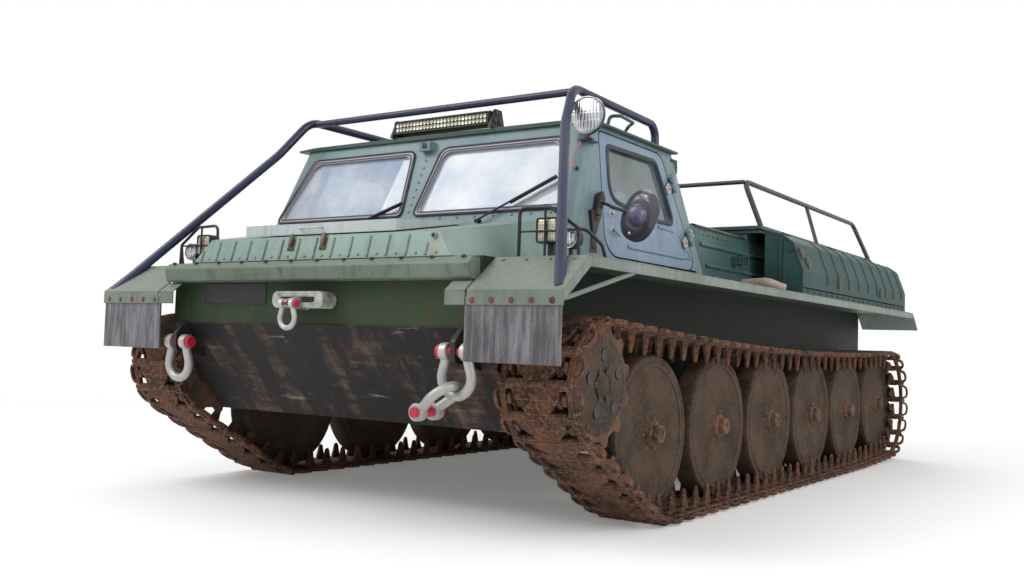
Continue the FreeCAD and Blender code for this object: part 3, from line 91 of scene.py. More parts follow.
world = bpy.data.worlds.new("studio")
scene.world = world
world.use_nodes = True
sky = world.node_tree
sky.nodes.clear()
seen = either(sky, "Is Camera Ray", "Is Glossy Ray", "Is Transmission Ray")
strength = node(sky, "ShaderNodeMapRange", {"Value": seen, "To Min": 0.62, "To Max": 1.0})
background = node(sky, "ShaderNodeBackground", {"Color": (1, 1, 1, 1), "Strength": strength.outputs[0]})
node(sky, "ShaderNodeOutputWorld", {"Surface": background.outputs[0]})

for name, place, power, size, aim in (("key", (-3.5, -6.5, 6.5), 360, 5.0, (0, 0, 1)),
                                      ("side", (7.0, -1.5, 4.0), 190, 4.0, (0, 0, 0.8)),
                                      ("back", (-2.0, 7.0, 5.5), 170, 4.0, (0, 1, 1))):
    lamp = bpy.data.lights.new(name, "AREA")
    lamp.energy = power
    lamp.size = size
    holder = bpy.data.objects.new(name, lamp)
    holder.location = place
    holder.rotation_euler = (Vector(aim) - Vector(place)).to_track_quat("-Z", "Y").to_euler()
    bpy.context.collection.objects.link(holder)

ground = bpy.data.meshes.new("floor")
ground.from_pydata([(-40, -40, 0), (40, -40, 0), (40, 40, 0), (-40, 40, 0)], [], [(0, 1, 2, 3)])
floor = bpy.data.objects.new("floor", ground)
bpy.context.collection.objects.link(floor)
chalk = bpy.data.materials.new("chalk_floor")
chalk.use_nodes = True
tree = chalk.node_tree
tree.nodes.clear()
chalk_grain = node(tree, "ShaderNodeTexNoise", {"Scale": 3.0, "Detail": 4.0})
chalk_tone = node(tree, "ShaderNodeMapRange",
                  {"Value": chalk_grain.outputs[0], "To Min": 0.86, "To Max": 0.9})
chalk_shader = node(tree, "ShaderNodeBsdfPrincipled",
                    {"Base Color": chalk_tone.outputs[0], "Roughness": 0.9})
glow = node(tree, "ShaderNodeEmission", {"Color": (1, 1, 1, 1), "Strength": 0.16})
lit = node(tree, "ShaderNodeAddShader", {0: chalk_shader.outputs[0], 1: glow.outputs[0]})
# The floor passes into plain white far from the vehicle, for the rays that see it.
span = node(tree, "ShaderNodeVectorMath", {0: node(tree, "ShaderNodeTexCoord").outputs["Object"]},
            operation="LENGTH")
far = node(tree, "ShaderNodeMapRange", {"Value": span.outputs["Value"], "From Min": 3.6, "From Max": 7.5},
           interpolation_type="SMOOTHSTEP").outputs[0]
floor_seen = either(tree, "Is Camera Ray", "Is Glossy Ray", "Is Transmission Ray")
far_seen = node(tree, "ShaderNodeMath", {0: far, 1: floor_seen}, operation="MULTIPLY").outputs[0]
white = node(tree, "ShaderNodeEmission", {"Color": (1, 1, 1, 1), "Strength": 1.0})
fading = node(tree, "ShaderNodeMixShader", {0: far_seen, 1: lit.outputs[0], 2: white.outputs[0]})
node(tree, "ShaderNodeOutputMaterial", {"Surface": fading.outputs[0]})
ground.materials.append(chalk)


# ---- Searchlight lead ----
# A thin orange rubber lead. It leaves the underside of the searchlight's bracket, hangs in a short free
# loop against the corner pillar and goes back into the cab through a gland.
def made_of(shape, name, material, body="hull", sharp=40):
    """Mesh object from (vertices, faces); a face is four vertex numbers, the last -1 for a triangle."""
    verts, faces = shape
    mesh = bpy.data.meshes.new(name)
    used = faces >= 0
    sizes = used.sum(1)
    mesh.vertices.add(len(verts))
    mesh.vertices.foreach_set("co", np.asarray(verts, dtype=np.float32).ravel())
    mesh.loops.add(int(sizes.sum()))
    mesh.loops.foreach_set("vertex_index", faces[used].astype(np.int32))
    mesh.polygons.add(len(faces))
    mesh.polygons.foreach_set("loop_start", np.concatenate([[0], np.cumsum(sizes)[:-1]]).astype(np.int32))
    mesh.update(calc_edges=True)
    mesh.validate()
    mesh.shade_smooth()
    mesh.set_sharp_from_angle(angle=np.radians(sharp))
    mesh.materials.append(material)
    piece = bpy.data.objects.new(name, mesh)
    bpy.context.collection.objects.link(piece)
    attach(piece, body)
    return piece


def effect(name, inputs, outputs):
    """Empty shader node group with named inputs (name: default) and outputs (name: kind)."""
    group = bpy.data.node_groups.new(name, "ShaderNodeTree")
    for label, default in inputs.items():
        kind = "NodeSocketFloat" if np.isscalar(default) else "NodeSocketColor"
        socket = group.interface.new_socket(label, in_out="INPUT", socket_type=kind)
        socket.default_value = default
    for label, kind in outputs.items():
        group.interface.new_socket(label, in_out="OUTPUT", socket_type="NodeSocket" + kind)
    return group, group.nodes.new("NodeGroupInput"), group.nodes.new("NodeGroupOutput")


def masked(group, value, low, high):
    """0 below low, 1 above high."""
    return node(group, "ShaderNodeMapRange", {"Value": value, "From Min": low, "From Max": high}).outputs[0]


def between(group, share, low, high):
    """Runs from low to high as the share runs from 0 to 1."""
    return node(group, "ShaderNodeMapRange", {"Value": share, "To Min": low, "To Max": high}).outputs[0]


def raised(group, height, depth, strength):
    """Normal of a surface whose relief follows the height."""
    relief = {"Height": height, "Distance": depth, "Strength": strength}
    return node(group, "ShaderNodeBump", relief).outputs[0]


def times(group, first, *others):
    """Product of the values."""
    for other in others:
        first = node(group, "ShaderNodeMath", {0: first, 1: other}, operation="MULTIPLY").outputs[0]
    return first


def plus(group, a, b):
    """Sum of two values, no more than 1."""
    return node(group, "ShaderNodeMath", {0: a, 1: b}, operation="ADD", use_clamp=True).outputs[0]


def blended(group, factor, a, b):
    """Colour a where factor is 0, colour b where it is 1."""
    return node(group, "ShaderNodeMix", {0: factor, 6: a, 7: b}, data_type="RGBA").outputs[2]


def size_of(group, value):
    """The value without its sign."""
    return node(group, "ShaderNodeMath", {0: value}, operation="ABSOLUTE").outputs[0]


def axes_of(group):
    """The object's own x, y and z."""
    place = node(group, "ShaderNodeTexCoord").outputs["Object"]
    return tuple(node(group, "ShaderNodeSeparateXYZ", {0: place}).outputs)


def grain_at(group, scale, detail=4.0, stretch=(1, 1, 1), rough=0.6):
    """Noise over object coordinates, drawn out along the axes where stretch is under 1."""
    place = node(group, "ShaderNodeTexCoord").outputs["Object"]
    spread = node(group, "ShaderNodeMapping", {"Vector": place, "Scale": stretch}).outputs[0]
    noise = node(group, "ShaderNodeTexNoise", {"Vector": spread, "Scale": scale, "Detail": detail,
                                               "Roughness": rough})
    return noise.outputs[0]


# Soft surfaces: the colour varies in cloudy patches, dust lies in the fine grain, and the skin is pitted.
soft, soft_in, soft_out = effect("soft_surface", {"Colour": (0.1, 0.1, 0.1, 1), "Dust": (0.4, 0.37, 0.33, 1),
                                                  "Dusty": 0.3, "Grain": 300.0},
                                 {"Color": "Color", "Roughness": "Float", "Height": "Float"})
patches = grain_at(soft, 14.0)
pits = node(soft, "ShaderNodeTexNoise", {"Vector": node(soft, "ShaderNodeTexCoord").outputs["Object"],
                                         "Scale": soft_in.outputs["Grain"], "Detail": 3.0}).outputs[0]
dust = times(soft, masked(soft, patches, 0.42, 0.72), masked(soft, pits, 0.35, 0.65),
             soft_in.outputs["Dusty"])
soft_link = soft.links.new
soft_link(blended(soft, dust, soft_in.outputs["Colour"], soft_in.outputs["Dust"]), soft_out.inputs["Color"])
soft_link(between(soft, dust, 0.5, 0.9), soft_out.inputs["Roughness"])
soft_link(pits, soft_out.inputs["Height"])


def wired(tree, shader, **values):
    """Links each value to the shader's socket of that name."""
    for label, value in values.items():
        tree.links.new(value, shader.inputs[label.replace("_", " ")])


def shaded(name, **constants):
    """New material; its tree and shader, with plain numbers set on the shader's sockets."""
    material = bpy.data.materials.new(name)
    material.use_nodes = True
    shader = material.node_tree.nodes["Principled BSDF"]
    for label, value in constants.items():
        shader.inputs[label.replace("_", " ")].default_value = value
    return material, material.node_tree, shader


def finish(name, group_tree, values, depth, strength, **constants):
    """Material whose colour, roughness and relief come from one of the surface groups."""
    material, tree, shader = shaded(name, **constants)
    group = node(tree, "ShaderNodeGroup", values, node_tree=group_tree)
    relief = {"Height": group.outputs["Height"], "Distance": depth, "Strength": strength}
    if "Normal" in group.outputs:
        relief["Normal"] = group.outputs["Normal"]
    wired(tree, shader, Base_Color=group.outputs["Color"], Roughness=group.outputs["Roughness"],
          Normal=node(tree, "ShaderNodeBump", relief).outputs[0])
    return material


def soft_finish(name, colour, dusty=0.4, grain=300.0, depth=0.0006, **constants):
    """Rubber, vinyl or moulded plastic with a pitted skin."""
    values = {"Colour": (*colour, 1), "Dusty": dusty, "Grain": grain}
    return finish(name, soft, values, depth, 0.6, **constants)


orange_rubber = soft_finish("orange_rubber", (0.72, 0.2, 0.04), dusty=0.25, grain=900, depth=0.0002)
screen_foot, screen_lean, screen_low = -1.9325, 0.45, 1.316
gland_z = 1.502
gland = Vector((0.866, screen_foot + screen_lean * (gland_z - screen_low), gland_z))
gland_out = Vector((0, -1, screen_lean)).normalized()
lead_foot = Vector((0.860, -1.8136, 1.627))
turn = gland + gland_out * 0.034
route = [lead_foot, lead_foot + Vector((0, 0, -0.022)), lead_foot + Vector((-0.020, -0.010, -0.036)),
         lead_foot + Vector((-0.038, -0.026, -0.052)), lead_foot + Vector((-0.032, -0.046, -0.072)),
         turn + Vector((-0.024, 0.004, 0.024)), turn, gland + gland_out * 0.006]
curve = bpy.data.curves.new("searchlight_flex", "CURVE")
curve.dimensions = "3D"
spline = curve.splines.new("NURBS")
spline.points.add(len(route) - 1)
for point, place in zip(spline.points, route):
    point.co = (*place, 1)
spline.order_u = 3
spline.use_endpoint_u = True
spline.resolution_u = 12
curve.bevel_depth = 0.0022
curve.bevel_resolution = 4
curve.use_fill_caps = True
curve.materials.append(orange_rubber)
flex = bpy.data.objects.new("searchlight_flex", curve)
bpy.context.collection.objects.link(flex)
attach(flex, "hull")
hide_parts("searchlight_lead")


# ---- Hull, floors and bow fittings ----
# The tub is welded from 8 mm steel plate, primed and painted dark green. Its lower front plate is scraped
# nearly black by mud and stumps, and rust runs down from the welds and from the rolled lip above.
paint, paint_in, paint_out = effect(
    "worn_paint",
    {"Paint": (0.05, 0.1, 0.08, 1), "Faded": (0.1, 0.15, 0.12, 1), "Grime": (0.03, 0.03, 0.025, 1),
     "Wear": 0.3, "Streaks": 0.3, "Dust": 0.3, "Mud": 0.3, "Gloss": 0.35},
    {"Color": "Color", "Roughness": "Float", "Height": "Float", "Normal": "Vector"})
cloudy = grain_at(paint, 2.2, 5.0)
grit = grain_at(paint, 48.0, 5.0)
specks = grain_at(paint, 170.0, 3.0)
runs = grain_at(paint, 1.0, 4.0, (26.0, 26.0, 1.3))
surface = node(paint, "ShaderNodeNewGeometry")
rounded = node(paint, "ShaderNodeBevel", {"Radius": 0.005}, samples=4)
facing = node(paint, "ShaderNodeVectorMath", {0: rounded.outputs[0], 1: surface.outputs["Normal"]},
              operation="DOT_PRODUCT").outputs["Value"]
edges = masked(paint, facing, 0.995, 0.9)
split = node(paint, "ShaderNodeSeparateXYZ", {0: surface.outputs["Normal"]})
uphill = masked(paint, split.outputs[2], 0.55, 0.95)
upright = masked(paint, split.outputs[2], 0.6, 0.2)
height = axes_of(paint)[2]
coat = blended(paint, masked(paint, cloudy, 0.38, 0.66), paint_in.outputs["Paint"],
               paint_in.outputs["Faded"])
streaked = times(paint, masked(paint, runs, 0.5, 0.75), upright, paint_in.outputs["Streaks"])
coat = blended(paint, streaked, coat, paint_in.outputs["Grime"])
rubbed = times(paint, edges, masked(paint, grit, 0.42, 0.6))
flecks = times(paint, masked(paint, specks, 0.66, 0.71), masked(paint, cloudy, 0.45, 0.65))
bare = times(paint, plus(paint, rubbed, flecks), paint_in.outputs["Wear"])
rust_tone = blended(paint, masked(paint, grit, 0.35, 0.65), (0.055, 0.028, 0.018, 1), (0.2, 0.085, 0.035, 1))
coat = blended(paint, bare, coat, rust_tone)
dusty = times(paint, uphill, masked(paint, grit, 0.3, 0.7), paint_in.outputs["Dust"])
coat = blended(paint, dusty, coat, (0.36, 0.35, 0.31, 1))
low_down = times(paint, masked(paint, height, 1.0, 0.35), masked(paint, cloudy, 0.36, 0.6),
                 paint_in.outputs["Mud"])
coat = blended(paint, low_down, coat, (0.105, 0.075, 0.052, 1))
dull = plus(paint, plus(paint, bare, dusty), low_down)
rough_low = plus(paint, paint_in.outputs["Gloss"], times(paint, grit, 0.16))
rough = node(paint, "ShaderNodeMix", {0: dull, 2: rough_low, 3: 0.85}).outputs[0]
relief = plus(paint, times(paint, specks, 0.25), times(paint, plus(paint, bare, low_down), 0.6))
for value, label in ((coat, "Color"), (rough, "Roughness"), (relief, "Height"),
                     (rounded.outputs[0], "Normal")):
    paint.links.new(value, paint_out.inputs[label])


def painted(name, colour, faded, wear=0.35, streaks=0.3, dust=0.3, mud=0.25, gloss=0.32, shine=0.35,
            grime=(0.03, 0.03, 0.025), metallic=0.0):
    """Enamel on steel plate: faded in clouds, chipped at its edges, streaked, and dusty on top."""
    values = {"Paint": (*colour, 1), "Faded": (*faded, 1), "Grime": (*grime, 1), "Wear": wear,
              "Streaks": streaks, "Dust": dust, "Mud": mud, "Gloss": gloss}
    return finish(name, paint, values, 0.0008, 0.5, Specular_IOR_Level=shine, Metallic=metallic)


def coat_nodes(material, *names):
    """Gives CAD nodes their finish."""
    for name in names:
        for holder in nodes[name].material_slots:
            holder.material = material


def coat_so_far(material):
    """A material's tree, its colour so far, the socket that takes it, and the object's x, y and z."""
    tree = material.node_tree
    entry = tree.nodes["Principled BSDF"].inputs["Base Color"]
    return tree, entry.links[0].from_socket, entry, axes_of(tree)


# The tub's very dark green is partly painted shade: it is darkened towards the shade under the fenders.
hull_green = painted("hull_green", (0.017, 0.036, 0.016), (0.028, 0.05, 0.024), wear=0.6, streaks=0.75,
                     mud=0.3, gloss=0.5, shine=0.2, grime=(0.075, 0.035, 0.016))
tree, green, entry, (_, y, z) = coat_so_far(hull_green)
normal = node(tree, "ShaderNodeNewGeometry").outputs["Normal"]
painted_shade_sides = size_of(tree, node(tree, "ShaderNodeSeparateXYZ", {0: normal}).outputs[0])
# Faces that look sideways are darkened three quarters of the way to near black: painted shade under the
# fenders.
green = blended(tree, times(tree, masked(tree, painted_shade_sides, 0.6, 0.9), 0.75), green, (0.007, 0.010, 0.011, 1))
lower_front = times(tree, masked(tree, z, 0.80, 0.785), masked(tree, y, -2.1, -2.2))
scrapes = grain_at(tree, 1.0, 6.0, (7.0, 2.0, 2.6), 0.7)
slant = node(tree, "ShaderNodeMapping", {"Vector": node(tree, "ShaderNodeTexCoord").outputs["Object"],
                                         "Rotation": (0, 0.55, 0), "Scale": (3.0, 3.0, 30.0)})
scratches = node(tree, "ShaderNodeTexNoise", {"Vector": slant.outputs[0], "Scale": 1.0, "Detail": 7.0,
                                              "Roughness": 0.72}).outputs[0]
scraped = blended(tree, times(tree, masked(tree, scrapes, 0.5, 0.72), masked(tree, scratches, 0.38, 0.62)),
                  (0.016, 0.014, 0.015, 1), (0.21, 0.13, 0.082, 1))
scraped = blended(tree, masked(tree, scratches, 0.62, 0.7), scraped, (0.3, 0.27, 0.24, 1))
tree.links.new(blended(tree, lower_front, green, scraped), entry)
coat_nodes(hull_green, "hull_tub", "floor_plates")
bow_green = painted("bow_green", (0.105, 0.145, 0.105), (0.15, 0.19, 0.15), wear=0.95, streaks=0.6,
                    dust=0.4, mud=0.1)
tree, green, entry, (x, _, z) = coat_so_far(bow_green)
eye_black = blended(tree, grain_at(tree, 30.0), (0.008, 0.008, 0.009, 1), (0.03, 0.026, 0.024, 1))
worn_patches = masked(tree, grain_at(tree, 22.0, 6.0), 0.4, 0.66)
centre_grey = blended(tree, worn_patches, (0.42, 0.45, 0.42, 1), (0.2, 0.19, 0.15, 1))
fitting_tone = blended(tree, masked(tree, size_of(tree, x), 0.49, 0.5), centre_grey, eye_black)
tree.links.new(blended(tree, masked(tree, z, 0.94, 0.93), green, fitting_tone), entry)
coat_nodes(bow_green, "bow_fittings")


def read_back(mesh):
    """(vertices, faces) of a mesh of triangles and four-sided faces; a triangle's last number is -1."""
    points = np.empty(len(mesh.vertices) * 3, dtype=np.float32)
    mesh.vertices.foreach_get("co", points)
    corners = np.empty(len(mesh.loops), dtype=np.int32)
    mesh.loops.foreach_get("vertex_index", corners)
    sides = np.empty(len(mesh.polygons), dtype=np.int32)
    mesh.polygons.foreach_get("loop_total", sides)
    start = (np.cumsum(sides) - sides)[:, None]
    turn = np.arange(4)
    rows = np.where(turn < sides[:, None], corners[np.minimum(start + turn, len(corners) - 1)], -1)
    return points.reshape(-1, 3).astype(float), rows


def clean(verts, quads):
    """A closed shape's vertices merged where they meet, its faces turned outwards."""
    draft = bpy.data.meshes.new("draft")
    draft.from_pydata(verts.tolist(), [], quads.tolist())
    merging = bmesh.new()
    merging.from_mesh(draft)
    bmesh.ops.remove_doubles(merging, verts=merging.verts, dist=1e-6)
    bmesh.ops.dissolve_degenerate(merging, dist=1e-7, edges=merging.edges)
    bmesh.ops.recalc_face_normals(merging, faces=merging.faces)
    merging.to_mesh(draft)
    merging.free()
    shape = read_back(draft)
    bpy.data.meshes.remove(draft)
    return shape


def skin(rings, closed=False):
    """Surface over a grid of points (ring, point on the ring, xyz): each ring closes on itself, and the two
    end rings are capped to their middles unless the row of rings closes too."""
    rings = np.asarray(rings, dtype=float)
    if not closed:
        low = np.broadcast_to(rings[0].mean(0), rings[0].shape)
        high = np.broadcast_to(rings[-1].mean(0), rings[0].shape)
        rings = np.concatenate([low[None], rings, high[None]])
    n, k = rings.shape[:2]
    i, j = np.meshgrid(np.arange(n if closed else n - 1), np.arange(k), indexing="ij")
    after, beside = (i + 1) % n, (j + 1) % k
    quads = np.stack([i * k + j, after * k + j, after * k + beside, i * k + beside], -1).reshape(-1, 4)
    return clean(rings.reshape(-1, 3), quads)


def turned(profile, sides=24):
    """Profile of (radius, height) pairs turned about the Z axis."""
    return skin([points_at(*circle_of(radius, sides).T, height) for radius, height in profile])


def carried(profile, path, up=(0, 0, 1), closed=False):
    """Profile (across, up) carried along a path; at each point it stands square to the path's direction."""
    path = np.asarray(path, dtype=float)
    if closed:
        along = np.roll(path, -1, 0) - np.roll(path, 1, 0)
    else:
        along = np.gradient(path, axis=0)
    along /= np.linalg.norm(along, axis=1)[:, None]
    across = np.cross(along, up)
    across /= np.linalg.norm(across, axis=1)[:, None]
    rise = np.cross(across, along)
    profile = np.asarray(profile, dtype=float)
    rings = path[:, None] + profile[None, :, :1] * across[:, None] + profile[None, :, 1:] * rise[:, None]
    return skin(rings, closed)


def circle_of(radius, sides=8, start=0.0):
    """Points evenly spaced round a circle, from a starting angle."""
    angle = start + np.arange(sides) * 2 * np.pi / sides
    return np.stack([np.cos(angle), np.sin(angle)], -1) * radius


def bar_of(half, low, high, top=None):
    """Flat bar's profile: its half width, its two faces, and the upper face's half width if that differs."""
    top = half if top is None else top
    return [(-half, low), (half, low), (top, high), (-top, high)]


def points_at(x, y, z):
    """Points whose x, y and z are numbers or rows of numbers."""
    return np.stack(np.broadcast_arrays(x, y, z), -1).astype(float)


def plate(outline, low, high, bevel=0.001):
    """Flat plate: a convex outline in (x, y) between two heights, its rims taken in by the bevel."""
    outline = np.asarray(outline, dtype=float)
    middle = outline.mean(0)
    reach = np.linalg.norm(outline - middle, axis=1)[:, None]
    inside = middle + (outline - middle) * (1 - bevel / reach)
    levels = ((inside, low), (outline, low + bevel), (outline, high - bevel), (inside, high))
    return skin([points_at(*ring.T, z) for ring, z in levels])


def brick(x0, x1, y0, y1, z0, z1, bevel=0.001):
    """Box between its faces."""
    return plate([(x0, y0), (x1, y0), (x1, y1), (x0, y1)], z0, z1, bevel)


def together(*shapes):
    """Several shapes as one."""
    sizes = np.cumsum([0] + [len(v) for v, _ in shapes])
    verts = np.concatenate([v for v, _ in shapes])
    faces = np.concatenate([np.where(f >= 0, f + start, -1) for (_, f), start in zip(shapes, sizes)])
    return verts, faces


def facing_to(normals, up=(0, 0, 1)):
    """Turn matrices whose Z axis lies along each normal."""
    z = np.atleast_2d(np.asarray(normals, dtype=float))
    z = z / np.linalg.norm(z, axis=1)[:, None]
    x = np.cross(np.broadcast_to(up, z.shape), z)
    flat = np.linalg.norm(x, axis=1) < 1e-6
    x[flat] = (1, 0, 0)
    x /= np.linalg.norm(x, axis=1)[:, None]
    return np.stack([x, np.cross(z, x), z], -1)


def repeated(shape, places, normals=(0, 0, 1), up=(0, 0, 1)):
    """Copies of a shape: each is turned so that its Z axis lies along the normal, then moved to its place."""
    verts, faces = shape
    places = np.atleast_2d(np.asarray(places, dtype=float))
    turns = np.broadcast_to(facing_to(normals, up), (len(places), 3, 3))
    points = np.einsum("nij,vj->nvi", turns, verts) + places[:, None]
    starts = np.arange(len(places))[:, None, None] * len(verts)
    rows = np.where(faces[None] >= 0, faces[None] + starts, -1)
    return points.reshape(-1, 3), rows.reshape(-1, 4)


def mirrored(shape):
    """The same shape on the vehicle's other side."""
    verts, faces = shape
    flipped = faces[:, ::-1]
    short = flipped[:, 0] < 0
    flipped = np.where(short[:, None], np.roll(flipped, -1, 1), flipped)
    return verts * (-1, 1, 1), flipped


def on_both_sides(shape):
    """The shape and its mirror image."""
    return together(shape, mirrored(shape))


leftward, forward, rearward = (1, 0, 0), (0, -1, 0), (0, 1, 0)
hexagon = turned([(0.0, 0.0), (0.0092, 0.0), (0.0092, 0.005), (0.0078, 0.0062), (0.0, 0.0062)], 6)
washer = turned([(0.0, 0.0), (0.0125, 0.0), (0.0125, 0.0012), (0.0, 0.0012)], 16)
bolt = together(washer, hexagon)
rivet = turned([(0.0, 0.0), (0.007, 0.0), (0.0062, 0.0026), (0.0035, 0.0042), (0.0, 0.0046)], 12)
bolt_steel = painted("bolt_steel", (0.08, 0.065, 0.05), (0.15, 0.1, 0.07), wear=0.8, streaks=0.2, dust=0.2)
blank_plate = painted("blank_plate", (0.012, 0.012, 0.013), (0.02, 0.02, 0.02), wear=0.2,
                      streaks=0.2, dust=0.1)
bow_front, hull_rear, fender_top = -2.5325, 2.4505, 1.062
weld_bead = carried(circle_of(0.004, 6), np.linspace((-0.872, bow_front, 0.79), (0.872, bow_front, 0.79), 40)
                    + points_at(0, np.sin(np.arange(40) * 2.4) * 0.0006, 0))
made_of(weld_bead, "bow_weld", hull_green)
sign = skin([[(x, y, z) for x, z in ((-0.676, 0.876), (-0.272, 0.876), (-0.272, 0.966), (-0.676, 0.966))]
             for y in (bow_front - 0.0005, bow_front - 0.003)])
made_of(sign, "bow_blank_plate", blank_plate)
belly_x, belly_y = np.meshgrid([-0.72, -0.36, 0.0, 0.36, 0.72], np.linspace(-1.9, 1.9, 9))
belly_bolts = points_at(belly_x.ravel(), belly_y.ravel(), 0.385)
made_of(repeated(bolt, belly_bolts, (0, 0, -1), rearward), "belly_bolts", bolt_steel)

# ---- Tow shackles ----
# Forged and galvanised bow shackles hang from the towing eyes, a smaller one from the bow's bracket. Their
# screw pins are painted red, and a second shackle is linked through the one on the vehicle's left.
galvanised = painted("galvanised_steel", (0.42, 0.42, 0.41), (0.55, 0.55, 0.54), streaks=0.25, mud=0.35,
                     metallic=0.55)
pin_red = painted("pin_red", (0.42, 0.012, 0.035), (0.52, 0.03, 0.06), wear=0.25, streaks=0.1, mud=0.1)
leg_half, bow_radius, bow_drop = 0.049, 0.0685, 0.0965
bow_sweep = np.radians(np.linspace(158, 382, 29))
bow_line = points_at(bow_radius * np.cos(bow_sweep), 0, bow_radius * np.sin(bow_sweep) - bow_drop)
bow_line = np.concatenate([[(-leg_half, 0, 0), (-leg_half - 0.002, 0, -0.03)], bow_line,
                           [(leg_half + 0.002, 0, -0.03), (leg_half, 0, 0)]])
lug = turned([(0, -0.018), (0.031, -0.018), (0.034, -0.015), (0.034, 0.015), (0.031, 0.018), (0, 0.018)], 24)
shackle_bow = together(carried(circle_of(0.019, 12), bow_line, up=rearward),
                       repeated(lug, [(-leg_half, 0, 0), (leg_half, 0, 0)], leftward))
shackle_pin = repeated(turned([(0, -0.080), (0.018, -0.080), (0.0205, -0.076), (0.0205, 0.067),
                               (0.025, 0.067), (0.027, 0.070), (0.027, 0.084), (0.023, 0.088), (0, 0.088)],
                              24),
                       [(0, 0, 0)], leftward)


def hung(shape, size, turn, place):
    """A shape scaled, turned by three angles about X, Y and Z in that order, and moved to its place."""
    verts, faces = shape
    return verts * size @ np.array(Euler(turn).to_matrix()).T + place, faces


eye_place, bracket_place = np.array([0.797, -2.5645, 0.700]), np.array([0, -2.662, 0.872])
hangers = ((1.0, (-0.05, 0, np.pi), eye_place), (1.0, (0.05, 0, 0), eye_place * (-1, 1, 1)),
           (0.6, (0, 0, 0), bracket_place))
bows = made_of(together(*[hung(shackle_bow, *hanger) for hanger in hangers]), "shackle_bows", galvanised,
               "hull")
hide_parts("tow_shackles")
made_of(together(*[hung(shackle_pin, *hanger) for hanger in hangers]), "shackle_pins", pin_red, "hull")
tilt = 0.9
link_turn = np.array(Euler((0, tilt, 0)).to_matrix()) @ np.array(Euler((np.pi, 0, np.pi / 2)).to_matrix())
link_at = eye_place + (0, -0.006, 0.038 - bow_drop - bow_radius)
link_at = link_at + (bow_drop + bow_radius) * np.array([-np.sin(tilt), 0, -np.cos(tilt)])
link_angles = Matrix(link_turn.tolist()).to_euler()
made_of(hung(shackle_bow, 1.0, link_angles, link_at), "linked_shackle", galvanised, "hull")
made_of(hung(shackle_pin, 1.0, link_angles, link_at), "linked_shackle_pin", pin_red, "hull")

# ---- Nose and its lid ----
# A pressed steel hood with upright ribs along its leaning front plate; the lid over the steering gear is
# held down by two toggle latches. The paint is chalky pale green, rubbed through on the ribs and rims; its
# green is lightened partly as painted light, for the strong light on the front plate.
# The nose's pale green is partly painted light: it is lightened for the strong light on its front plate.
nose_green = painted("nose_green", (0.19, 0.28, 0.25), (0.27, 0.37, 0.335), wear=0.75, streaks=0.4, dust=0.4)
tree, green, entry, (x, y, z) = coat_so_far(nose_green)
from_drain = node(tree, "ShaderNodeMath", {0: x, 1: 0.655}, operation="SUBTRACT").outputs[0]
below_drain = times(tree, masked(tree, size_of(tree, from_drain), 0.034, 0.012),
                    masked(tree, z, 1.150, 1.138), masked(tree, y, -2.44, -2.5))
stain = times(tree, below_drain, masked(tree, grain_at(tree, 1.0, 5.0, (60, 60, 6)), 0.3, 0.6), 0.85)
tree.links.new(blended(tree, stain, green, (0.33, 0.25, 0.19, 1)), entry)
lid_green = painted("lid_green", (0.4, 0.46, 0.465), (0.49, 0.54, 0.55), wear=0.6, dust=0.5)
coat_nodes(nose_green, "hood")
coat_nodes(lid_green, "hood_lid")


def nose_face(x, z, out=0.0):
    """Point on the nose's leaning front plate; it leans back 30 mm over its height of 105 mm."""
    return points_at(x, bow_front - 0.015 + (z - fender_top) * 30 / 105 - out, z)


nose_out = (0, -1, 0.286)
latch_plate = plate([(-0.017, -0.026), (0.017, -0.026), (0.017, 0.026), (-0.017, 0.026)], 0.0, 0.004)
latch_lever = carried(bar_of(0.008, -0.002, 0.002),
                      [(0, -0.020, 0.004), (0, -0.014, 0.010), (0, 0.006, 0.013), (0, 0.030, 0.014),
                       (0, 0.046, 0.011)],
                      up=(0, 0, 1))
latch_bow = carried(circle_of(0.0025, 6),
                    [(-0.009, 0.000, 0.010), (-0.009, 0.034, 0.008), (0.0, 0.040, 0.008),
                                           (0.009, 0.034, 0.008), (0.009, 0.000, 0.010)], up=(0, 0, 1))
latch = together(latch_plate, latch_lever, latch_bow,
                 repeated(rivet, [(-0.011, -0.018, 0.004), (0.011, -0.018, 0.004)]))
made_of(repeated(latch, nose_face([-0.131, 0.057], 1.128, 0.001), nose_out), "nose_latches", bolt_steel)
rib_x = -0.039 + (np.arange(15) - 7.0) * 0.1006
made_of(repeated(rivet, nose_face(rib_x, 1.078), nose_out), "nose_rivets", nose_green)
lip_bolts = points_at(np.linspace(-0.83, 0.83, 12), bow_front - 0.052, 1.0555)
made_of(repeated(bolt, lip_bolts), "lip_bolts", bolt_steel)

# ---- Cab ----
# The cab is welded from sheet over pressed frames: a windshield frame with rounded corner pillars, door
# frames and a sloping rear wall, all in a bluish green enamel; the roof is a darker, duller green.
cab_green = painted("cab_green", (0.13, 0.205, 0.215), (0.19, 0.27, 0.285), wear=0.4, streaks=0.35,
                    dust=0.35, mud=0)
roof_green = painted("roof_green", (0.03, 0.062, 0.05), (0.05, 0.088, 0.074), wear=0.4, streaks=0.2,
                     dust=0.35, mud=0)
coat_nodes(cab_green, "cab_front", "cab_rear", "cab_sides")
coat_nodes(roof_green, "cab_roof", "roof_hatch")
side_lean = 0.09756


def side_half(z):
    """Half width of the cab's side at a height; the sides lean in towards the roof."""
    return 0.934 - side_lean * (np.asarray(z, dtype=float) - fender_top)


def on_side(y, z, out=0.0):
    """Points on the left side of the cab."""
    return points_at(side_half(z) + out, y, z)


def on_screen(x, z, out=0.0):
    """Points on the leaning windshield frame."""
    return points_at(x, screen_foot + screen_lean * (z - screen_low) - out, z + screen_lean * out)


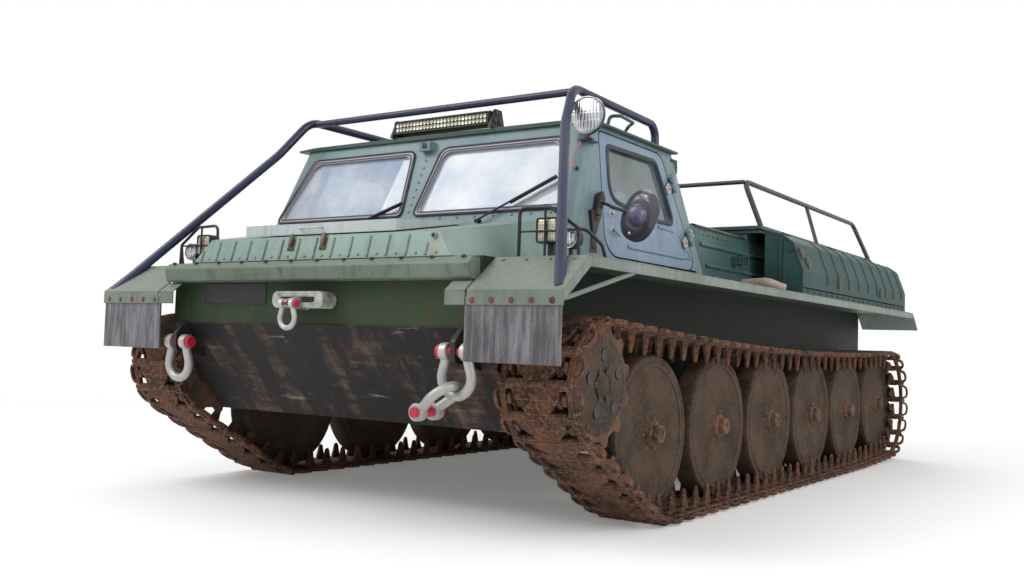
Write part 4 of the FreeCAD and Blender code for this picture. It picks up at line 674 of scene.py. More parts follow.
def softened(corners, radii, steps=6):
    """Closed outline with each corner replaced by a quadratic curve that starts and ends where an arc of
    that radius would."""
    corners = np.asarray(corners, dtype=float)
    back = np.roll(corners, 1, 0) - corners
    ahead = np.roll(corners, -1, 0) - corners
    back /= np.linalg.norm(back, axis=1)[:, None]
    ahead /= np.linalg.norm(ahead, axis=1)[:, None]
    half = np.arccos(np.clip((back * ahead).sum(1), -1, 1)) / 2
    cut = (np.asarray(radii, dtype=float) / np.tan(half))[:, None]
    t = np.linspace(0, 1, steps)[None, :, None]
    start, end = (corners + back * cut)[:, None], (corners + ahead * cut)[:, None]
    curve = start * (1 - t) ** 2 + 2 * corners[:, None] * t * (1 - t) + end * t ** 2
    return curve.reshape(-1, 2)


side_out, screen_out = (1, 0, side_lean), (0, -1, screen_lean)
pillar_rivets = np.concatenate([on_screen(0.0, np.linspace(1.34, 1.64, 9)),
                                on_screen(np.linspace(-0.8, 0.8, 17), 1.300)])
made_of(repeated(rivet, pillar_rivets, screen_out), "screen_frame_rivets", cab_green)
roof_rivets = points_at(np.linspace(-0.86, 0.86, 15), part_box("cab_roof")[0][1] + 0.012, 1.7265)
made_of(repeated(rivet, roof_rivets, (0, -0.3, 1)), "roof_rivets", roof_green)
hatch_ring = softened([(-0.632, -1.535), (-0.188, -1.535), (-0.188, -1.120), (-0.632, -1.120)], [0.05] * 4,
                      8)
hatch_press = carried(circle_of(0.006), points_at(*hatch_ring.T, 1.7562), closed=True)
made_of(hatch_press, "hatch_pressing", roof_green, "roof_hatch")
hatch_grip = carried(circle_of(0.0055), [(-0.45, -1.175, 1.757), (-0.45, -1.175, 1.782),
                                         (-0.41, -1.175, 1.787),
                                            (-0.37, -1.175, 1.782), (-0.37, -1.175, 1.757)], up=rearward)
made_of(hatch_grip, "hatch_grip", bolt_steel, "roof_hatch")

# ---- Doors ----
# Two flat steel doors, thinner painted and paler than their frames. Each hangs at the rear on two bolted
# strap hinges, worn white, and has a swage line, two latch studs and a rubber edge round its window.
door_blue = painted("door_blue", (0.165, 0.235, 0.32), (0.22, 0.295, 0.385), dust=0.2, mud=0.1)
coat_nodes(door_blue, "left_door", "right_door")
hinge_white = painted("hinge_white", (0.46, 0.46, 0.43), (0.33, 0.33, 0.3), wear=1.0, dust=0.1)
door_rubber = soft_finish("door_rubber", (0.012, 0.014, 0.022), dusty=0.15)
window_corners = [(-1.6097, 1.400), (-1.2597, 1.352), (-0.9448, 1.352), (-1.1146, 1.648), (-1.6097, 1.640)]
window_line = softened(window_corners, [0.10, 0.4, 0.04, 0.06, 0.03], 8)
bead = [(-0.009, -0.003), (0.009, -0.003), (0.010, 0.002), (0.004, 0.0055), (-0.004, 0.0055),
        (-0.010, 0.002)]
window_bead = carried(bead, on_side(*window_line.T, 0.002), up=side_out, closed=True)
inner_bead = carried(bead, on_side(*window_line.T, -0.038), up=(-1, 0, -side_lean), closed=True)
strap = plate([(-0.030, -0.024), (0.022, -0.030), (0.032, -0.010), (0.032, 0.012), (0.020, 0.028),
               (-0.030, 0.022)],
              0.0, 0.0022)
hinge_bolt = repeated(bolt, [(-0.018, -0.013, 0.0022), (-0.018, 0.012, 0.0022), (0.014, 0.0, 0.0022)])


def hinge_point(z, back, out):
    """Point beside the slanting hinge line, back along the side and out from it."""
    y = -0.655 - 0.62 * (z - fender_top)
    return on_side(y + back * 0.85, z + back * 0.525, out)


climb = np.linspace(0, 1, 12)[:, None]
corner_from, corner, corner_to = np.array([(-0.875, 1.196), (-0.795, 1.196), (-0.862, 1.292)])
rear_swage = corner_from * (1 - climb) ** 2 + 2 * corner * climb * (1 - climb) + corner_to * climb ** 2
swage_path = np.concatenate([[(y, 1.196) for y in np.linspace(-1.46, -0.89, 14)], rear_swage])
swage = carried([(-0.011, -0.001), (0.011, -0.001), (0.006, 0.0050), (0, 0.0065), (-0.006, 0.0050)],
                on_side(*swage_path.T, 0.001), up=side_out)
short_swage = carried(bar_of(0.009, -0.001, 0.0055, 0.004),
                      on_side(np.linspace(-1.13, -0.965, 8), 1.325 - 0.004 * np.linspace(0, 1, 8), 0.0),
                      up=side_out)
stud = turned([(0, 0), (0.017, 0), (0.017, 0.002), (0.010, 0.004), (0.009, 0.016), (0.006, 0.018),
               (0, 0.018)], 18)
for side, shape_on in (("left", lambda shape: shape), ("right", mirrored)):
    door = side + "_door"
    made_of(shape_on(together(window_bead, inner_bead)), side + "_window_rubber", door_rubber,
            door)
    made_of(shape_on(together(swage, short_swage)), side + "_door_swages", door_blue, door)
    places = [hinge_point(z, -0.046, 0.0065) for z in (1.300, 1.554)]
    made_of(shape_on(repeated(strap, places, side_out, (0, -0.53, 0.85))), side + "_hinge_straps",
            hinge_white, door)
    made_of(shape_on(repeated(hinge_bolt, places, side_out, (0, -0.53, 0.85))), side + "_hinge_bolts",
            galvanised, door)
    fixed = [hinge_point(z, 0.040, 0.0065) for z in (1.300, 1.554)]
    made_of(shape_on(repeated(strap, fixed, side_out, (0, 0.53, -0.85))),
            side + "_hinge_leaves", hinge_white)
    made_of(shape_on(repeated(hinge_bolt, fixed, side_out, (0, 0.53, -0.85))),
            side + "_leaf_bolts", galvanised)
    studs = on_side([-1.6067, -1.6067], [1.256, 1.333], 0.0)
    made_of(shape_on(repeated(stud, studs, side_out)), side + "_latch_studs", galvanised, door)
    pocket = plate(softened([(-0.22, -0.07), (0.22, -0.07), (0.24, 0.07), (-0.24, 0.07)], [0.02] * 4, 5),
                   0.0, 0.004)
    made_of(shape_on(repeated(pocket, on_side([-1.35], 1.24, -0.0365), (-1, 0, -side_lean))),
            side + "_door_lining", door_blue, door)

# ---- Glass and its rubber ----
# Flat toughened panes, dusty in clouds, sit in wide rubber frames. The front frames are pale grey with age,
# with a black outer line and a locking strip round each pane.
def pane_glass(name, clear, hazy, clear_share):
    """Flat glass with a haze of dried dust in clouds; part of the light passes and part is scattered."""
    material, tree, shader = shaded(name, Transmission_Weight=clear_share, IOR=1.5, Roughness=0.0)
    haze = masked(tree, grain_at(tree, 2.6, 6.0), 0.36, 0.66)
    wired(tree, shader, Base_Color=blended(tree, haze, (*clear, 1), (*hazy, 1)))
    return material


# The windshield's pale blue tone is a painted sky reflection; its whitish clouds are dust.
screen_glass_painted_sky = pane_glass("screen_glass_painted_sky", (0.46, 0.6, 0.82), (0.93, 0.95, 0.97), 0.5)
door_glass = pane_glass("door_glass", (0.3, 0.4, 0.38), (0.6, 0.7, 0.72), 0.82)
coat_nodes(screen_glass_painted_sky, "window_glass")
coat_nodes(door_glass, "left_door_glass", "right_door_glass")
seal_grey = soft_finish("seal_grey", (0.34, 0.31, 0.33), dusty=0.5, grain=220)
coat_nodes(seal_grey, "window_seals")
pane_corners = [(0.035, 1.316), (0.8682, 1.316), (0.7599, 1.658), (0.082, 1.658)]
pane_line = softened(pane_corners, [0.03, 0.03, 0.05, 0.05], 8)
outer_line = carried([(-0.0045, -0.002), (0.0045, -0.002), (0.0045, 0.003), (0, 0.005), (-0.0045, 0.003)],
                     on_screen(*pane_line.T, 0.0055), up=screen_out, closed=True)
made_of(on_both_sides(outer_line), "screen_rubber_line", door_rubber, "hull")
lock_line = softened([(0.052, 1.332), (0.852, 1.332), (0.746, 1.642), (0.098, 1.642)],
                     [0.02, 0.02, 0.04, 0.04], 8)
lock_strip = carried(bar_of(0.003, -0.001, 0.0015),
                     on_screen(*lock_line.T, 0.0062), up=screen_out, closed=True)
made_of(on_both_sides(lock_strip), "screen_lock_strip", door_rubber, "hull")

# ---- Wipers ----
# Black steel arms on spindles below the panes, parked up to the vehicle's left. Each holds a straight blade
# of black rubber.
black_metal = painted("black_metal", (0.013, 0.014, 0.015), (0.03, 0.03, 0.03), wear=0.5, streaks=0.1,
                      dust=0.2, mud=0)
coat_nodes(black_metal, "wipers")
spindle_z = 1.278
for label, foot_x, tip_x, tip_z in (("left", 0.435, 0.774, 1.455), ("right", -0.31, -0.06, 1.378)):
    t = np.linspace(0, 1, 14)
    share = 0.42 + 0.62 * t
    sweep = on_screen(foot_x + (tip_x - foot_x) * share, spindle_z + (tip_z - spindle_z) * share)
    blade = carried(bar_of(0.004, 0.0, 0.018, 0.003), sweep + (0, -0.002, 0),
                    up=screen_out)
    made_of(blade, label + "_wiper_blade", door_rubber, "hull")

# ---- Tracks ----
# Cast steel links on floating pins: a waisted centre slab, two guide horns inside, windows for the sprocket
# teeth, hinge lugs on both edges, and an open eyelet at each end. Rusty, not painted.
rust, rust_in, rust_out = effect(
    "rusty_casting",
    {"Dark": (0.03, 0.02, 0.016, 1), "Rust": (0.17, 0.075, 0.036, 1), "Ochre": (0.33, 0.19, 0.1, 1),
     "Rubbed": (0.3, 0.22, 0.18, 1), "Ochre Share": 0.5, "Wear": 0.6, "Dirt": 0.4},
    {"Color": "Color", "Roughness": "Float", "Height": "Float", "Normal": "Vector"})
broad = grain_at(rust, 6.0, 6.0)
sand = grain_at(rust, 60.0, 6.0, rough=0.7)
pitting = grain_at(rust, 240.0, 3.0)
metal = node(rust, "ShaderNodeNewGeometry")
rounding = node(rust, "ShaderNodeBevel", {"Radius": 0.004}, samples=4)
ridge = masked(rust, node(rust, "ShaderNodeVectorMath", {0: rounding.outputs[0], 1: metal.outputs["Normal"]},
                          operation="DOT_PRODUCT").outputs["Value"], 0.995, 0.88)
iron = blended(rust, masked(rust, broad, 0.36, 0.62), rust_in.outputs["Dark"], rust_in.outputs["Rust"])
iron = blended(rust, times(rust, masked(rust, sand, 0.48, 0.66), rust_in.outputs["Ochre Share"]), iron,
               rust_in.outputs["Ochre"])
polish = times(rust, ridge, masked(rust, sand, 0.36, 0.55), rust_in.outputs["Wear"])
iron = blended(rust, polish, iron, rust_in.outputs["Rubbed"])
resting = node(rust, "ShaderNodeSeparateXYZ", {0: metal.outputs["Normal"]}).outputs[2]
caked = times(rust, masked(rust, resting, 0.1, 0.9), masked(rust, broad, 0.35, 0.6), rust_in.outputs["Dirt"])
iron = blended(rust, caked, iron, (0.13, 0.095, 0.065, 1))
rust.links.new(iron, rust_out.inputs["Color"])
rust.links.new(node(rust, "ShaderNodeMix", {0: polish, 2: 0.86, 3: 0.42}).outputs[0],
               rust_out.inputs["Roughness"])
rust.links.new(plus(rust, times(rust, sand, 0.6), times(rust, pitting, 0.4)), rust_out.inputs["Height"])
rust.links.new(rounding.outputs[0], rust_out.inputs["Normal"])


def rusted(name, dark, rusty, ochre, share=0.5, wear=0.6, dirt=0.4, depth=0.0015):
    """Bare iron or steel: rust in clouds and grains, rubbed bright on its edges, dirt on what faces up."""
    values = {"Dark": (*dark, 1), "Rust": (*rusty, 1), "Ochre": (*ochre, 1), "Ochre Share": share,
              "Wear": wear, "Dirt": dirt}
    return finish(name, rust, values, depth, 0.7, Specular_IOR_Level=0.2)


track_iron = rusted("track_iron", (0.024, 0.016, 0.013), (0.12, 0.053, 0.031), (0.3, 0.15, 0.085),
                    share=0.6, wear=0.75)
track_x, link_pitch, pin_line = 1.09, 0.128, 0.0175
sprocket_place, sprocket_reach = (-2.2275, 0.592), 12 * 0.128 / (2 * np.pi)
wheel_y = -1.6175 + 0.715 * np.arange(5)
wheel_z, idler_place, wheel_r = 0.3725, (1.9575, 0.3975), 0.3375


def pin_places():
    """(y, z) of every link pin. The pin line wraps the sprocket, the first and last wheels and the idler on
    circles joined by straight tangents, keeps half a link's thickness above the ground, and its top run sags
    in a parabola 55 mm deep; the pins are spaced along it by equal lengths."""
    flat = wheel_r + pin_line
    bent = np.hypot(flat, link_pitch / 2)
    circles = np.array([(*sprocket_place, sprocket_reach), (wheel_y[0], wheel_z, bent),
                        (wheel_y[-1], wheel_z, flat), (*idler_place, bent)])
    step = np.roll(circles, -1, 0) - circles
    tangent = (np.arctan2(step[:, 1], step[:, 0]) - np.pi / 2
               - np.arcsin(step[:, 2] / np.hypot(step[:, 0], step[:, 1])))
    start = np.roll(tangent, 1)
    angle = start[:, None] + ((tangent - start) % (2 * np.pi))[:, None] * np.linspace(0, 1, 120)
    arcs = circles[:, None, :2] + circles[:, None, 2:] * np.stack([np.cos(angle), np.sin(angle)], -1)
    line = arcs.reshape(-1, 2)
    line[:, 1] = np.maximum(line[:, 1], pin_line)
    t = np.linspace(0, 1, 61)[1:, None]
    run = line[-1] + (line[0] - line[-1]) * t - np.array([0, 0.22]) * t * (1 - t)
    line = np.concatenate([line, run])
    length = np.concatenate([[0], np.cumsum(np.linalg.norm(np.diff(line, axis=0), axis=1))])
    target = length[-1] * np.arange(round(length[-1] / link_pitch)) / round(length[-1] / link_pitch)
    return np.column_stack([np.interp(target, length, line[:, 0]), np.interp(target, length, line[:, 1])])


def slab(outline, low, high, bevel=0.003):
    """Part of a link: an outline in (across, along) between two heights, outwards from the pin line."""
    verts, faces = plate(outline, low, high, bevel)
    turned_faces = mirrored((verts, faces))[1]
    return verts[:, [0, 2, 1]], turned_faces


def barrel(x0, x1, along, radius, sides=8):
    """Round lug or pin that lies across the link."""
    soft_rim = radius * 0.82
    return skin([points_at(x, *(circle_of(r, sides) + (0, along)).T) for x, r in
                 ((x0, soft_rim), (x0 + 0.003, radius), (x1 - 0.003, radius), (x1, soft_rim))])


def horn(x):
    """Guide horn: a rounded box tapering inwards from the link, 68 mm long at its foot and 10 at its tip."""
    height = np.array([0.012, 0.022, 0.058, 0.084, 0.096, 0.1015])
    along = np.array([0.034, 0.031, 0.020, 0.0145, 0.011, 0.005])
    thick = np.array([0.013, 0.0125, 0.0105, 0.009, 0.0075, 0.003])
    round_box = np.array([(1, -0.55), (1, 0.55), (0.6, 1), (-0.6, 1), (-1, 0.55), (-1, -0.55),
                          (-0.6, -1), (0.6, -1)])
    return skin([points_at(x + round_box[:, 0] * t, -h, 0.064 + round_box[:, 1] * a)
                 for h, a, t in zip(height, along, thick)])


def eyelet(side, reach):
    """Open loop at the link's end: a flat bar bent out, round and back."""
    path = np.array([(0.140, 0.018), (reach - 0.030, 0.020), (reach - 0.014, 0.029), (reach - 0.0075, 0.046),
                     (reach - 0.0065, 0.064), (reach - 0.0075, 0.082), (reach - 0.014, 0.099),
                     (reach - 0.030, 0.108), (0.140, 0.110)])
    points = points_at(side * path[:, 0], -0.002, path[:, 1])
    return carried([(-0.0055, -0.0095), (0.0055, -0.0095), (0.0075, 0.0), (0.0055, 0.0095),
                    (-0.0055, 0.0095), (-0.0075, 0.0)], points, up=rearward)


hinge_radius = 0.0162
link = together(
    slab([(-0.104, 0.010), (0.104, 0.010), (0.098, 0.062), (-0.098, 0.062)], -0.0165, 0.0125),
    slab([(-0.098, 0.058), (0.098, 0.058), (0.046, 0.118), (-0.046, 0.118)], -0.0165, 0.0110),
    slab([(0.134, 0.012), (0.156, 0.012), (0.156, 0.120), (0.134, 0.120)], -0.0145, 0.0095),
    slab([(-0.156, 0.012), (-0.134, 0.012), (-0.134, 0.120), (-0.156, 0.120)], -0.0145, 0.0095),
    slab([(0.044, 0.004), (0.150, 0.004), (0.150, 0.024), (0.044, 0.024)], -0.012, 0.010),
    slab([(-0.150, 0.004), (-0.044, 0.004), (-0.044, 0.024), (-0.150, 0.024)], -0.012, 0.010),
    barrel(-0.121, -0.047, 0.0, hinge_radius), barrel(0.047, 0.121, 0.0, hinge_radius),
    barrel(-0.044, 0.044, link_pitch, hinge_radius), barrel(0.124, 0.160, link_pitch, hinge_radius),
    barrel(-0.160, -0.124, link_pitch, hinge_radius), barrel(-0.169, 0.169, 0.0, 0.0095, 6),
    horn(-0.088), horn(0.088), eyelet(1, 0.195), eyelet(-1, 0.190))
pins = pin_places()
ahead_pin = np.roll(pins, -1, 0) - pins
ahead_pin /= np.linalg.norm(ahead_pin, axis=1)[:, None]
links = repeated(link, points_at(track_x, *pins.T), points_at(0, *ahead_pin.T),
                 points_at(0, ahead_pin[:, 1], -ahead_pin[:, 0]))
left_links = made_of(links, "left_track_links", track_iron, "hull")
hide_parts("left_track")
right_links = made_of(mirrored(links), "right_track_links", track_iron, "hull")
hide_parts("right_track")

# ---- Sprockets ----
# Toothed rings each side of a hub drum, driven from the final drive; the outer ring carries a dished cover
# with lightening holes and a circle of bolts. Earth and rust on all of it, the teeth rubbed brighter.
sprocket_iron = rusted("sprocket_iron", (0.05, 0.04, 0.035), (0.16, 0.075, 0.045),
                       (0.24, 0.13, 0.08), wear=0.9)
cover_iron = rusted("cover_iron", (0.035, 0.03, 0.026), (0.085, 0.055, 0.04),
                    (0.15, 0.115, 0.08), share=0.35)
hollow = soft_finish("hollow_dark", (0.008, 0.007, 0.006), dusty=0.2)
coat_nodes(sprocket_iron, "sprockets")
hub = np.array([track_x + 0.127, *sprocket_place])
dish = turned([(0.0, 0.004), (0.05, 0.004), (0.055, 0.012), (0.075, 0.020), (0.118, 0.026), (0.150, 0.016),
               (0.168, 0.008), (0.186, 0.008), (0.188, 0.0), (0.0, 0.0)], 48)
edge_bolts, cap_bolts = points_at(0.008, *circle_of(0.177, 12).T), points_at(0.020, *circle_of(0.060, 6).T)
hub_cap = turned([(0, 0.0), (0.048, 0.0), (0.048, 0.016), (0.036, 0.024), (0.0, 0.025)], 20)
cover = together(*[repeated(shape, places, leftward) for shape, places in
                   ((dish, hub), (hub_cap, hub), (bolt, hub + edge_bolts), (bolt, hub + cap_bolts))])
made_of(on_both_sides(cover), "sprocket_covers", cover_iron, "hull")
hole_at = points_at(0.0225, *circle_of(0.114, 5, 0.4).T)
hole_cup = turned([(0, 0.0), (0.024, 0.0), (0.024, 0.0045), (0.0215, 0.0050), (0.0200, 0.0044), (0, 0.0044)],
                  20)
made_of(on_both_sides(repeated(hole_cup, hub + hole_at, leftward)), "sprocket_cover_holes", hollow,
        "hull")

# ---- Road wheels and idlers ----
# Pressed steel disc wheels with solid rubber tyres worn nearly flush, a rolled rim and a bolted hub with a
# hexagon cap. The discs are dusty violet brown over their old paint, darkened partly as painted shade, the
# tyres and rims ochre with earth.
# The discs' dark colours are partly painted shade: they are darkened for the shade the wheels stand in.
disc_iron = rusted("disc_iron", (0.045, 0.031, 0.028), (0.08, 0.05, 0.042), (0.13, 0.09, 0.07), share=0.4,
                   wear=0.7, dirt=0.25, depth=0.001)
tyre_rubber = rusted("tyre_rubber", (0.035, 0.026, 0.02), (0.08, 0.052, 0.034), (0.15, 0.1, 0.062),
                     share=0.4, wear=0.4, dirt=0.5)
hub_iron = rusted("hub_iron", (0.06, 0.035, 0.025), (0.16, 0.08, 0.05), (0.27, 0.19, 0.14), wear=0.9)
disc = turned([(0.0, -0.034), (0.120, -0.034), (0.245, -0.028), (0.276, -0.030), (0.286, -0.046),
               (0.296, -0.052), (0.304, -0.048), (0.304, 0.048), (0.296, 0.0535), (0.289, 0.0530),
               (0.2835, 0.047), (0.279, 0.036), (0.270, 0.029), (0.250, 0.027), (0.150, 0.033),
               (0.080, 0.036), (0.0, 0.037)], 64)
tyre = turned([(0.300, -0.046), (0.318, -0.0535), (0.330, -0.052), (0.3355, -0.045), (0.3369, -0.030),
               (0.3369, 0.030), (0.3355, 0.045), (0.330, 0.052), (0.318, 0.0535), (0.300, 0.046)], 64)
hub_bolts = points_at(*circle_of(0.070, 6).T, 0.0425)
wheel_hub = together(turned([(0, 0.030), (0.086, 0.030), (0.083, 0.038), (0.074, 0.043), (0.060, 0.045),
                             (0.056, 0.062), (0.050, 0.068), (0.0, 0.069)], 28),
                     turned([(0, 0.066), (0.046, 0.066), (0.046, 0.090), (0.039, 0.098), (0.019, 0.100),
                             (0.015, 0.092), (0, 0.092)], 6),
                     repeated(bolt, hub_bolts))
stations = np.concatenate([points_at(track_x, wheel_y, wheel_z), [(track_x, *idler_place)]])
discs = made_of(on_both_sides(repeated(disc, stations, leftward)), "wheel_discs", disc_iron, "hull")
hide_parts("road_wheels")
for shape, name, material in ((tyre, "wheel_tyres", tyre_rubber), (wheel_hub, "wheel_hubs", hub_iron)):
    made_of(on_both_sides(repeated(shape, stations, leftward)), name, material, "hull")

# ---- Suspension arms ----
# Cast trailing arms on torsion bars that come out of the hull's side, dark with oil and packed earth. The
# forged tow hook at the rear has the same finish.
arm_iron = rusted("arm_iron", (0.018, 0.015, 0.013), (0.055, 0.036, 0.026), (0.12, 0.085, 0.06),
                  share=0.3, wear=0.4)
coat_nodes(arm_iron, "suspension_arms", "tow_hook")

# ---- Fenders and mud flaps ----
# Sheet steel fenders run the whole length, droop to a turned-down nose with a wing inboard of it, and slope
# down behind; rubber flaps hang below the noses on rusty strips with five bolts each.
fender_green = painted("fender_green", (0.125, 0.165, 0.135), (0.2, 0.235, 0.205), wear=1.0, streaks=0.4,
                       dust=0.6, mud=0.5)
coat_nodes(fender_green, "fenders")
nose_front, nose_top, wing_inside = -2.6275, 0.928, 0.779
wing_slope = [(nose_front, nose_top - 0.005), (nose_front, nose_top),
              (nose_front + 0.049, nose_top + 0.0371), (nose_front + 0.049, nose_top + 0.0321)]
wing = together(skin([[(x, y, z) for y, z in wing_slope] for x in (wing_inside, 0.872)]),
                brick(wing_inside, 0.872, nose_front, nose_front + 0.005, nose_top - 0.056,
                      nose_top - 0.004))
made_of(on_both_sides(wing), "fender_nose_wings", fender_green)
flap, tree, shader = shaded("flap_rubber")
drips = masked(tree, grain_at(tree, 1.0, 5.0, (34, 34, 3.5), 0.7), 0.42, 0.68)
spots = grain_at(tree, 130.0, 4.0)
flap_tone = blended(tree, drips, (0.058, 0.055, 0.062, 1), (0.23, 0.215, 0.235, 1))
flap_tone = blended(tree, times(tree, masked(tree, spots, 0.62, 0.7), 0.5), flap_tone, (0.36, 0.34, 0.34, 1))
wired(tree, shader, Base_Color=flap_tone, Roughness=between(tree, drips, 0.45, 0.75),
      Normal=raised(tree, spots, 0.0006, 0.6))
coat_nodes(flap, "mud_flaps")
strip_metal = painted("flap_strip_metal", (0.2, 0.23, 0.19), (0.27, 0.27, 0.22), wear=1.0, streaks=0.7)
rusty_bolts = rusted("rusty_bolts", (0.06, 0.03, 0.022), (0.22, 0.085, 0.045), (0.33, 0.15, 0.08), wear=0.5)
strip_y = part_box("mud_flaps")[0][1] - 0.001
strip = brick(0.876, 1.276, strip_y - 0.003, strip_y + 0.001, 0.876, 0.904)
made_of(on_both_sides(strip), "flap_strips", strip_metal)
strip_bolts = points_at(np.linspace(0.905, 1.247, 5), strip_y - 0.003, 0.890)
made_of(on_both_sides(repeated(bolt, strip_bolts, forward)), "flap_bolts", rusty_bolts)
fender_rivets = points_at(1.258, np.linspace(-2.36, 2.33, 26), 1.0655)
made_of(on_both_sides(repeated(rivet, fender_rivets)), "fender_rivets", fender_green)
slope = np.array([0, -hull_rear, fender_top]) - (0, nose_front, 0.915)
slope_out = (0, -slope[2], slope[1])
crown_rivets = points_at(np.linspace(0.93, 1.24, 4), -2.470, 1.0485)
made_of(on_both_sides(repeated(rivet, crown_rivets, slope_out)), "fender_crown_rivets", fender_green)

# ---- Load body ----
# Ribbed sheet walls behind the cab, a closed rear body with a hinged tailgate, and a flat cover on it. All
# teal green, with a rubber moulding along the walls' open edges and a square socket on each wall.
body_teal = painted("body_teal", (0.028, 0.078, 0.074), (0.05, 0.115, 0.11), wear=0.55, streaks=0.4,
                    dust=0.35, mud=0)
coat_nodes(body_teal, "load_walls", "rear_body", "tailgate")
cover_teal = painted("cover_teal", (0.02, 0.058, 0.052), (0.034, 0.08, 0.074), wear=0.4, streaks=0.1,
                     dust=0.2, mud=0)
coat_nodes(cover_teal, "load_cover")
edge_path = on_side([-0.70, -0.45, -0.2, 0.0], 1.383, -0.012)
moulding = carried([(-0.022, -0.004), (-0.018, 0.006), (-0.008, 0.010), (0.008, 0.010), (0.018, 0.006),
                    (0.022, -0.004)], edge_path)
made_of(on_both_sides(moulding), "wall_top_moulding", door_rubber, "hull")
tube_wall = np.array([(1, 1), (-1, 1), (-1, -1), (1, -1)])
socket = skin([points_at(*tube_wall.T * half, deep) for half, deep in
               ((0.022, 0.0), (0.022, 0.058), (0.0185, 0.058), (0.0185, 0.006), (0.001, 0.006))])
made_of(on_both_sides(repeated(socket, on_side([-0.20], 1.236, 0.0), side_out)), "wall_sockets", body_teal)
edge_buttons = on_side(np.linspace(-0.62, -0.04, 12), 1.372, 0.0)
made_of(on_both_sides(repeated(rivet, edge_buttons, side_out)), "moulding_buttons", bolt_steel)
wall_rivets = np.concatenate([on_side(np.linspace(-0.50, -0.02, 9), 1.135),
                              on_side(np.linspace(-0.58, -0.02, 10), 1.345)])
made_of(on_both_sides(repeated(rivet, wall_rivets, side_out)), "wall_rivets", body_teal)
gate_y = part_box("tailgate")[1][1] - 0.001
gate_rivets = np.array([(x, gate_y, z) for z in (1.12, 1.36) for x in np.linspace(-0.50, 0.50, 9)])
gate_latch = together(brick(-0.035, 0.035, -0.018, 0.018, 0.0, 0.004),
                      carried(circle_of(0.005), [(-0.025, 0, 0.004), (-0.025, 0, 0.022), (0, 0, 0.026),
                                                    (0.025, 0, 0.022), (0.025, 0, 0.004)], up=rearward))
gate_pulls = [(-0.36, gate_y, 1.325), (0.36, gate_y, 1.325)]

# ---- Side boxes ----
# Long lockers on the fenders beside the load body. Each curved lid is pressed with shallow ribs, hinged
# along its top edge, and shut by four over-centre clips on its outside.
box_teal = painted("box_teal", (0.013, 0.048, 0.044), (0.025, 0.068, 0.064), wear=0.5, streaks=0.4,
                   shine=0.2, gloss=0.42, dust=0.12, mud=0.1)
coat_nodes(box_teal, "side_boxes", "left_box_lid", "right_box_lid")
clip = together(brick(-0.016, 0.016, -0.036, 0.036, 0.0, 0.003),
                carried(bar_of(0.010, -0.002, 0.002),
                        [(0, -0.030, 0.005), (0, -0.010, 0.011), (0, 0.020, 0.012), (0, 0.034, 0.008)],
                        up=(0, 0, 1)))
box_rivets = points_at(1.2375, np.linspace(0.13, 2.31, 20), 1.088)
made_of(on_both_sides(repeated(rivet, box_rivets, leftward)), "side_box_rivets", box_teal)
knee, shoulder = np.array([1.237, 1.205]), np.array([1.180, 1.362])
clip_out = (shoulder[1] - knee[1], 0, knee[0] - shoulder[0])
box_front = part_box("side_boxes")[0][1]
end_strip = brick(1.100, 1.114, box_front - 0.0035, box_front + 0.001, 1.095, 1.385)
strip_studs = points_at(1.107, box_front - 0.0035, np.linspace(1.11, 1.37, 5))
made_of(on_both_sides(together(end_strip, repeated(rivet, strip_studs, forward))),
        "side_box_end_strips", box_teal)
end_hole = turned([(0, 0), (0.013, 0), (0.013, 0.0012), (0, 0.0012)], 20)
made_of(on_both_sides(repeated(end_hole, [(1.165, box_front, 1.318)], forward)), "side_box_end_holes",
        hollow, "hull")
rim_line = np.array([(1.234, 1.110), (1.234, 1.203), (1.177, 1.359), (1.113, 1.403), (1.030, 1.430)])
rim_path = points_at(rim_line[:, 0], box_front + 0.004, rim_line[:, 1])
rim_gasket = carried(bar_of(0.004, -0.006, 0.004), rim_path, up=forward)
made_of(on_both_sides(rim_gasket), "side_box_gaskets", door_rubber, "hull")
for side, shape_on in (("left", lambda shape: shape), ("right", mirrored)):
    clips = repeated(clip, [(1.2372, y, 1.165) for y in (0.72, 1.70)], leftward)
    front_clips = repeated(clip, [(knee[0] * (1 - t) + shoulder[0] * t + 0.0012, y,
                                   knee[1] * (1 - t) + shoulder[1] * t)
                                  for t, y in ((0.62, 0.105), (0.30, 0.165))], clip_out)
    made_of(shape_on(together(clips, front_clips)), side + "_box_clips", bolt_steel, side + "_box_lid")
made_of(repeated(rivet, gate_rivets, rearward), "tailgate_rivets", body_teal, "tailgate")
made_of(repeated(gate_latch, gate_pulls, rearward), "tailgate_latches", bolt_steel, "tailgate")
cover_rivets = np.concatenate([points_at(x, np.linspace(0.07, 2.30, 18), 1.4605) for x in (-0.962, 0.962)])
made_of(repeated(rivet, cover_rivets), "cover_rivets", cover_teal)

# ---- Luggage rail and brush guard ----
# Bent round tube, welded at its joints: the rail in faded dark green, the guard before and over the cab in
# glossier navy black, standing on the fenders' noses.
rail_paint = painted("rail_paint", (0.025, 0.04, 0.045), (0.05, 0.06, 0.08), wear=0.5, streaks=0.1,
                     dust=0.15, mud=0)
guard_paint = painted("guard_paint", (0.014, 0.017, 0.045), (0.032, 0.036, 0.085), streaks=0.1, dust=0.06,
                      mud=0, gloss=0.12)
coat_nodes(rail_paint, "luggage_rail")
coat_nodes(guard_paint, "brush_guard")

# ---- Light bar ----
# Two rows of small yellowed reflectors inside a bezel, in a black housing with cooling fins on its top. It
# hangs between two brackets on three bolts at each end.
bar_black = painted("bar_black", (0.012, 0.013, 0.014), (0.03, 0.032, 0.034), wear=0.3, streaks=0.1,
                    dust=0.5, mud=0)
coat_nodes(bar_black, "light_bar")


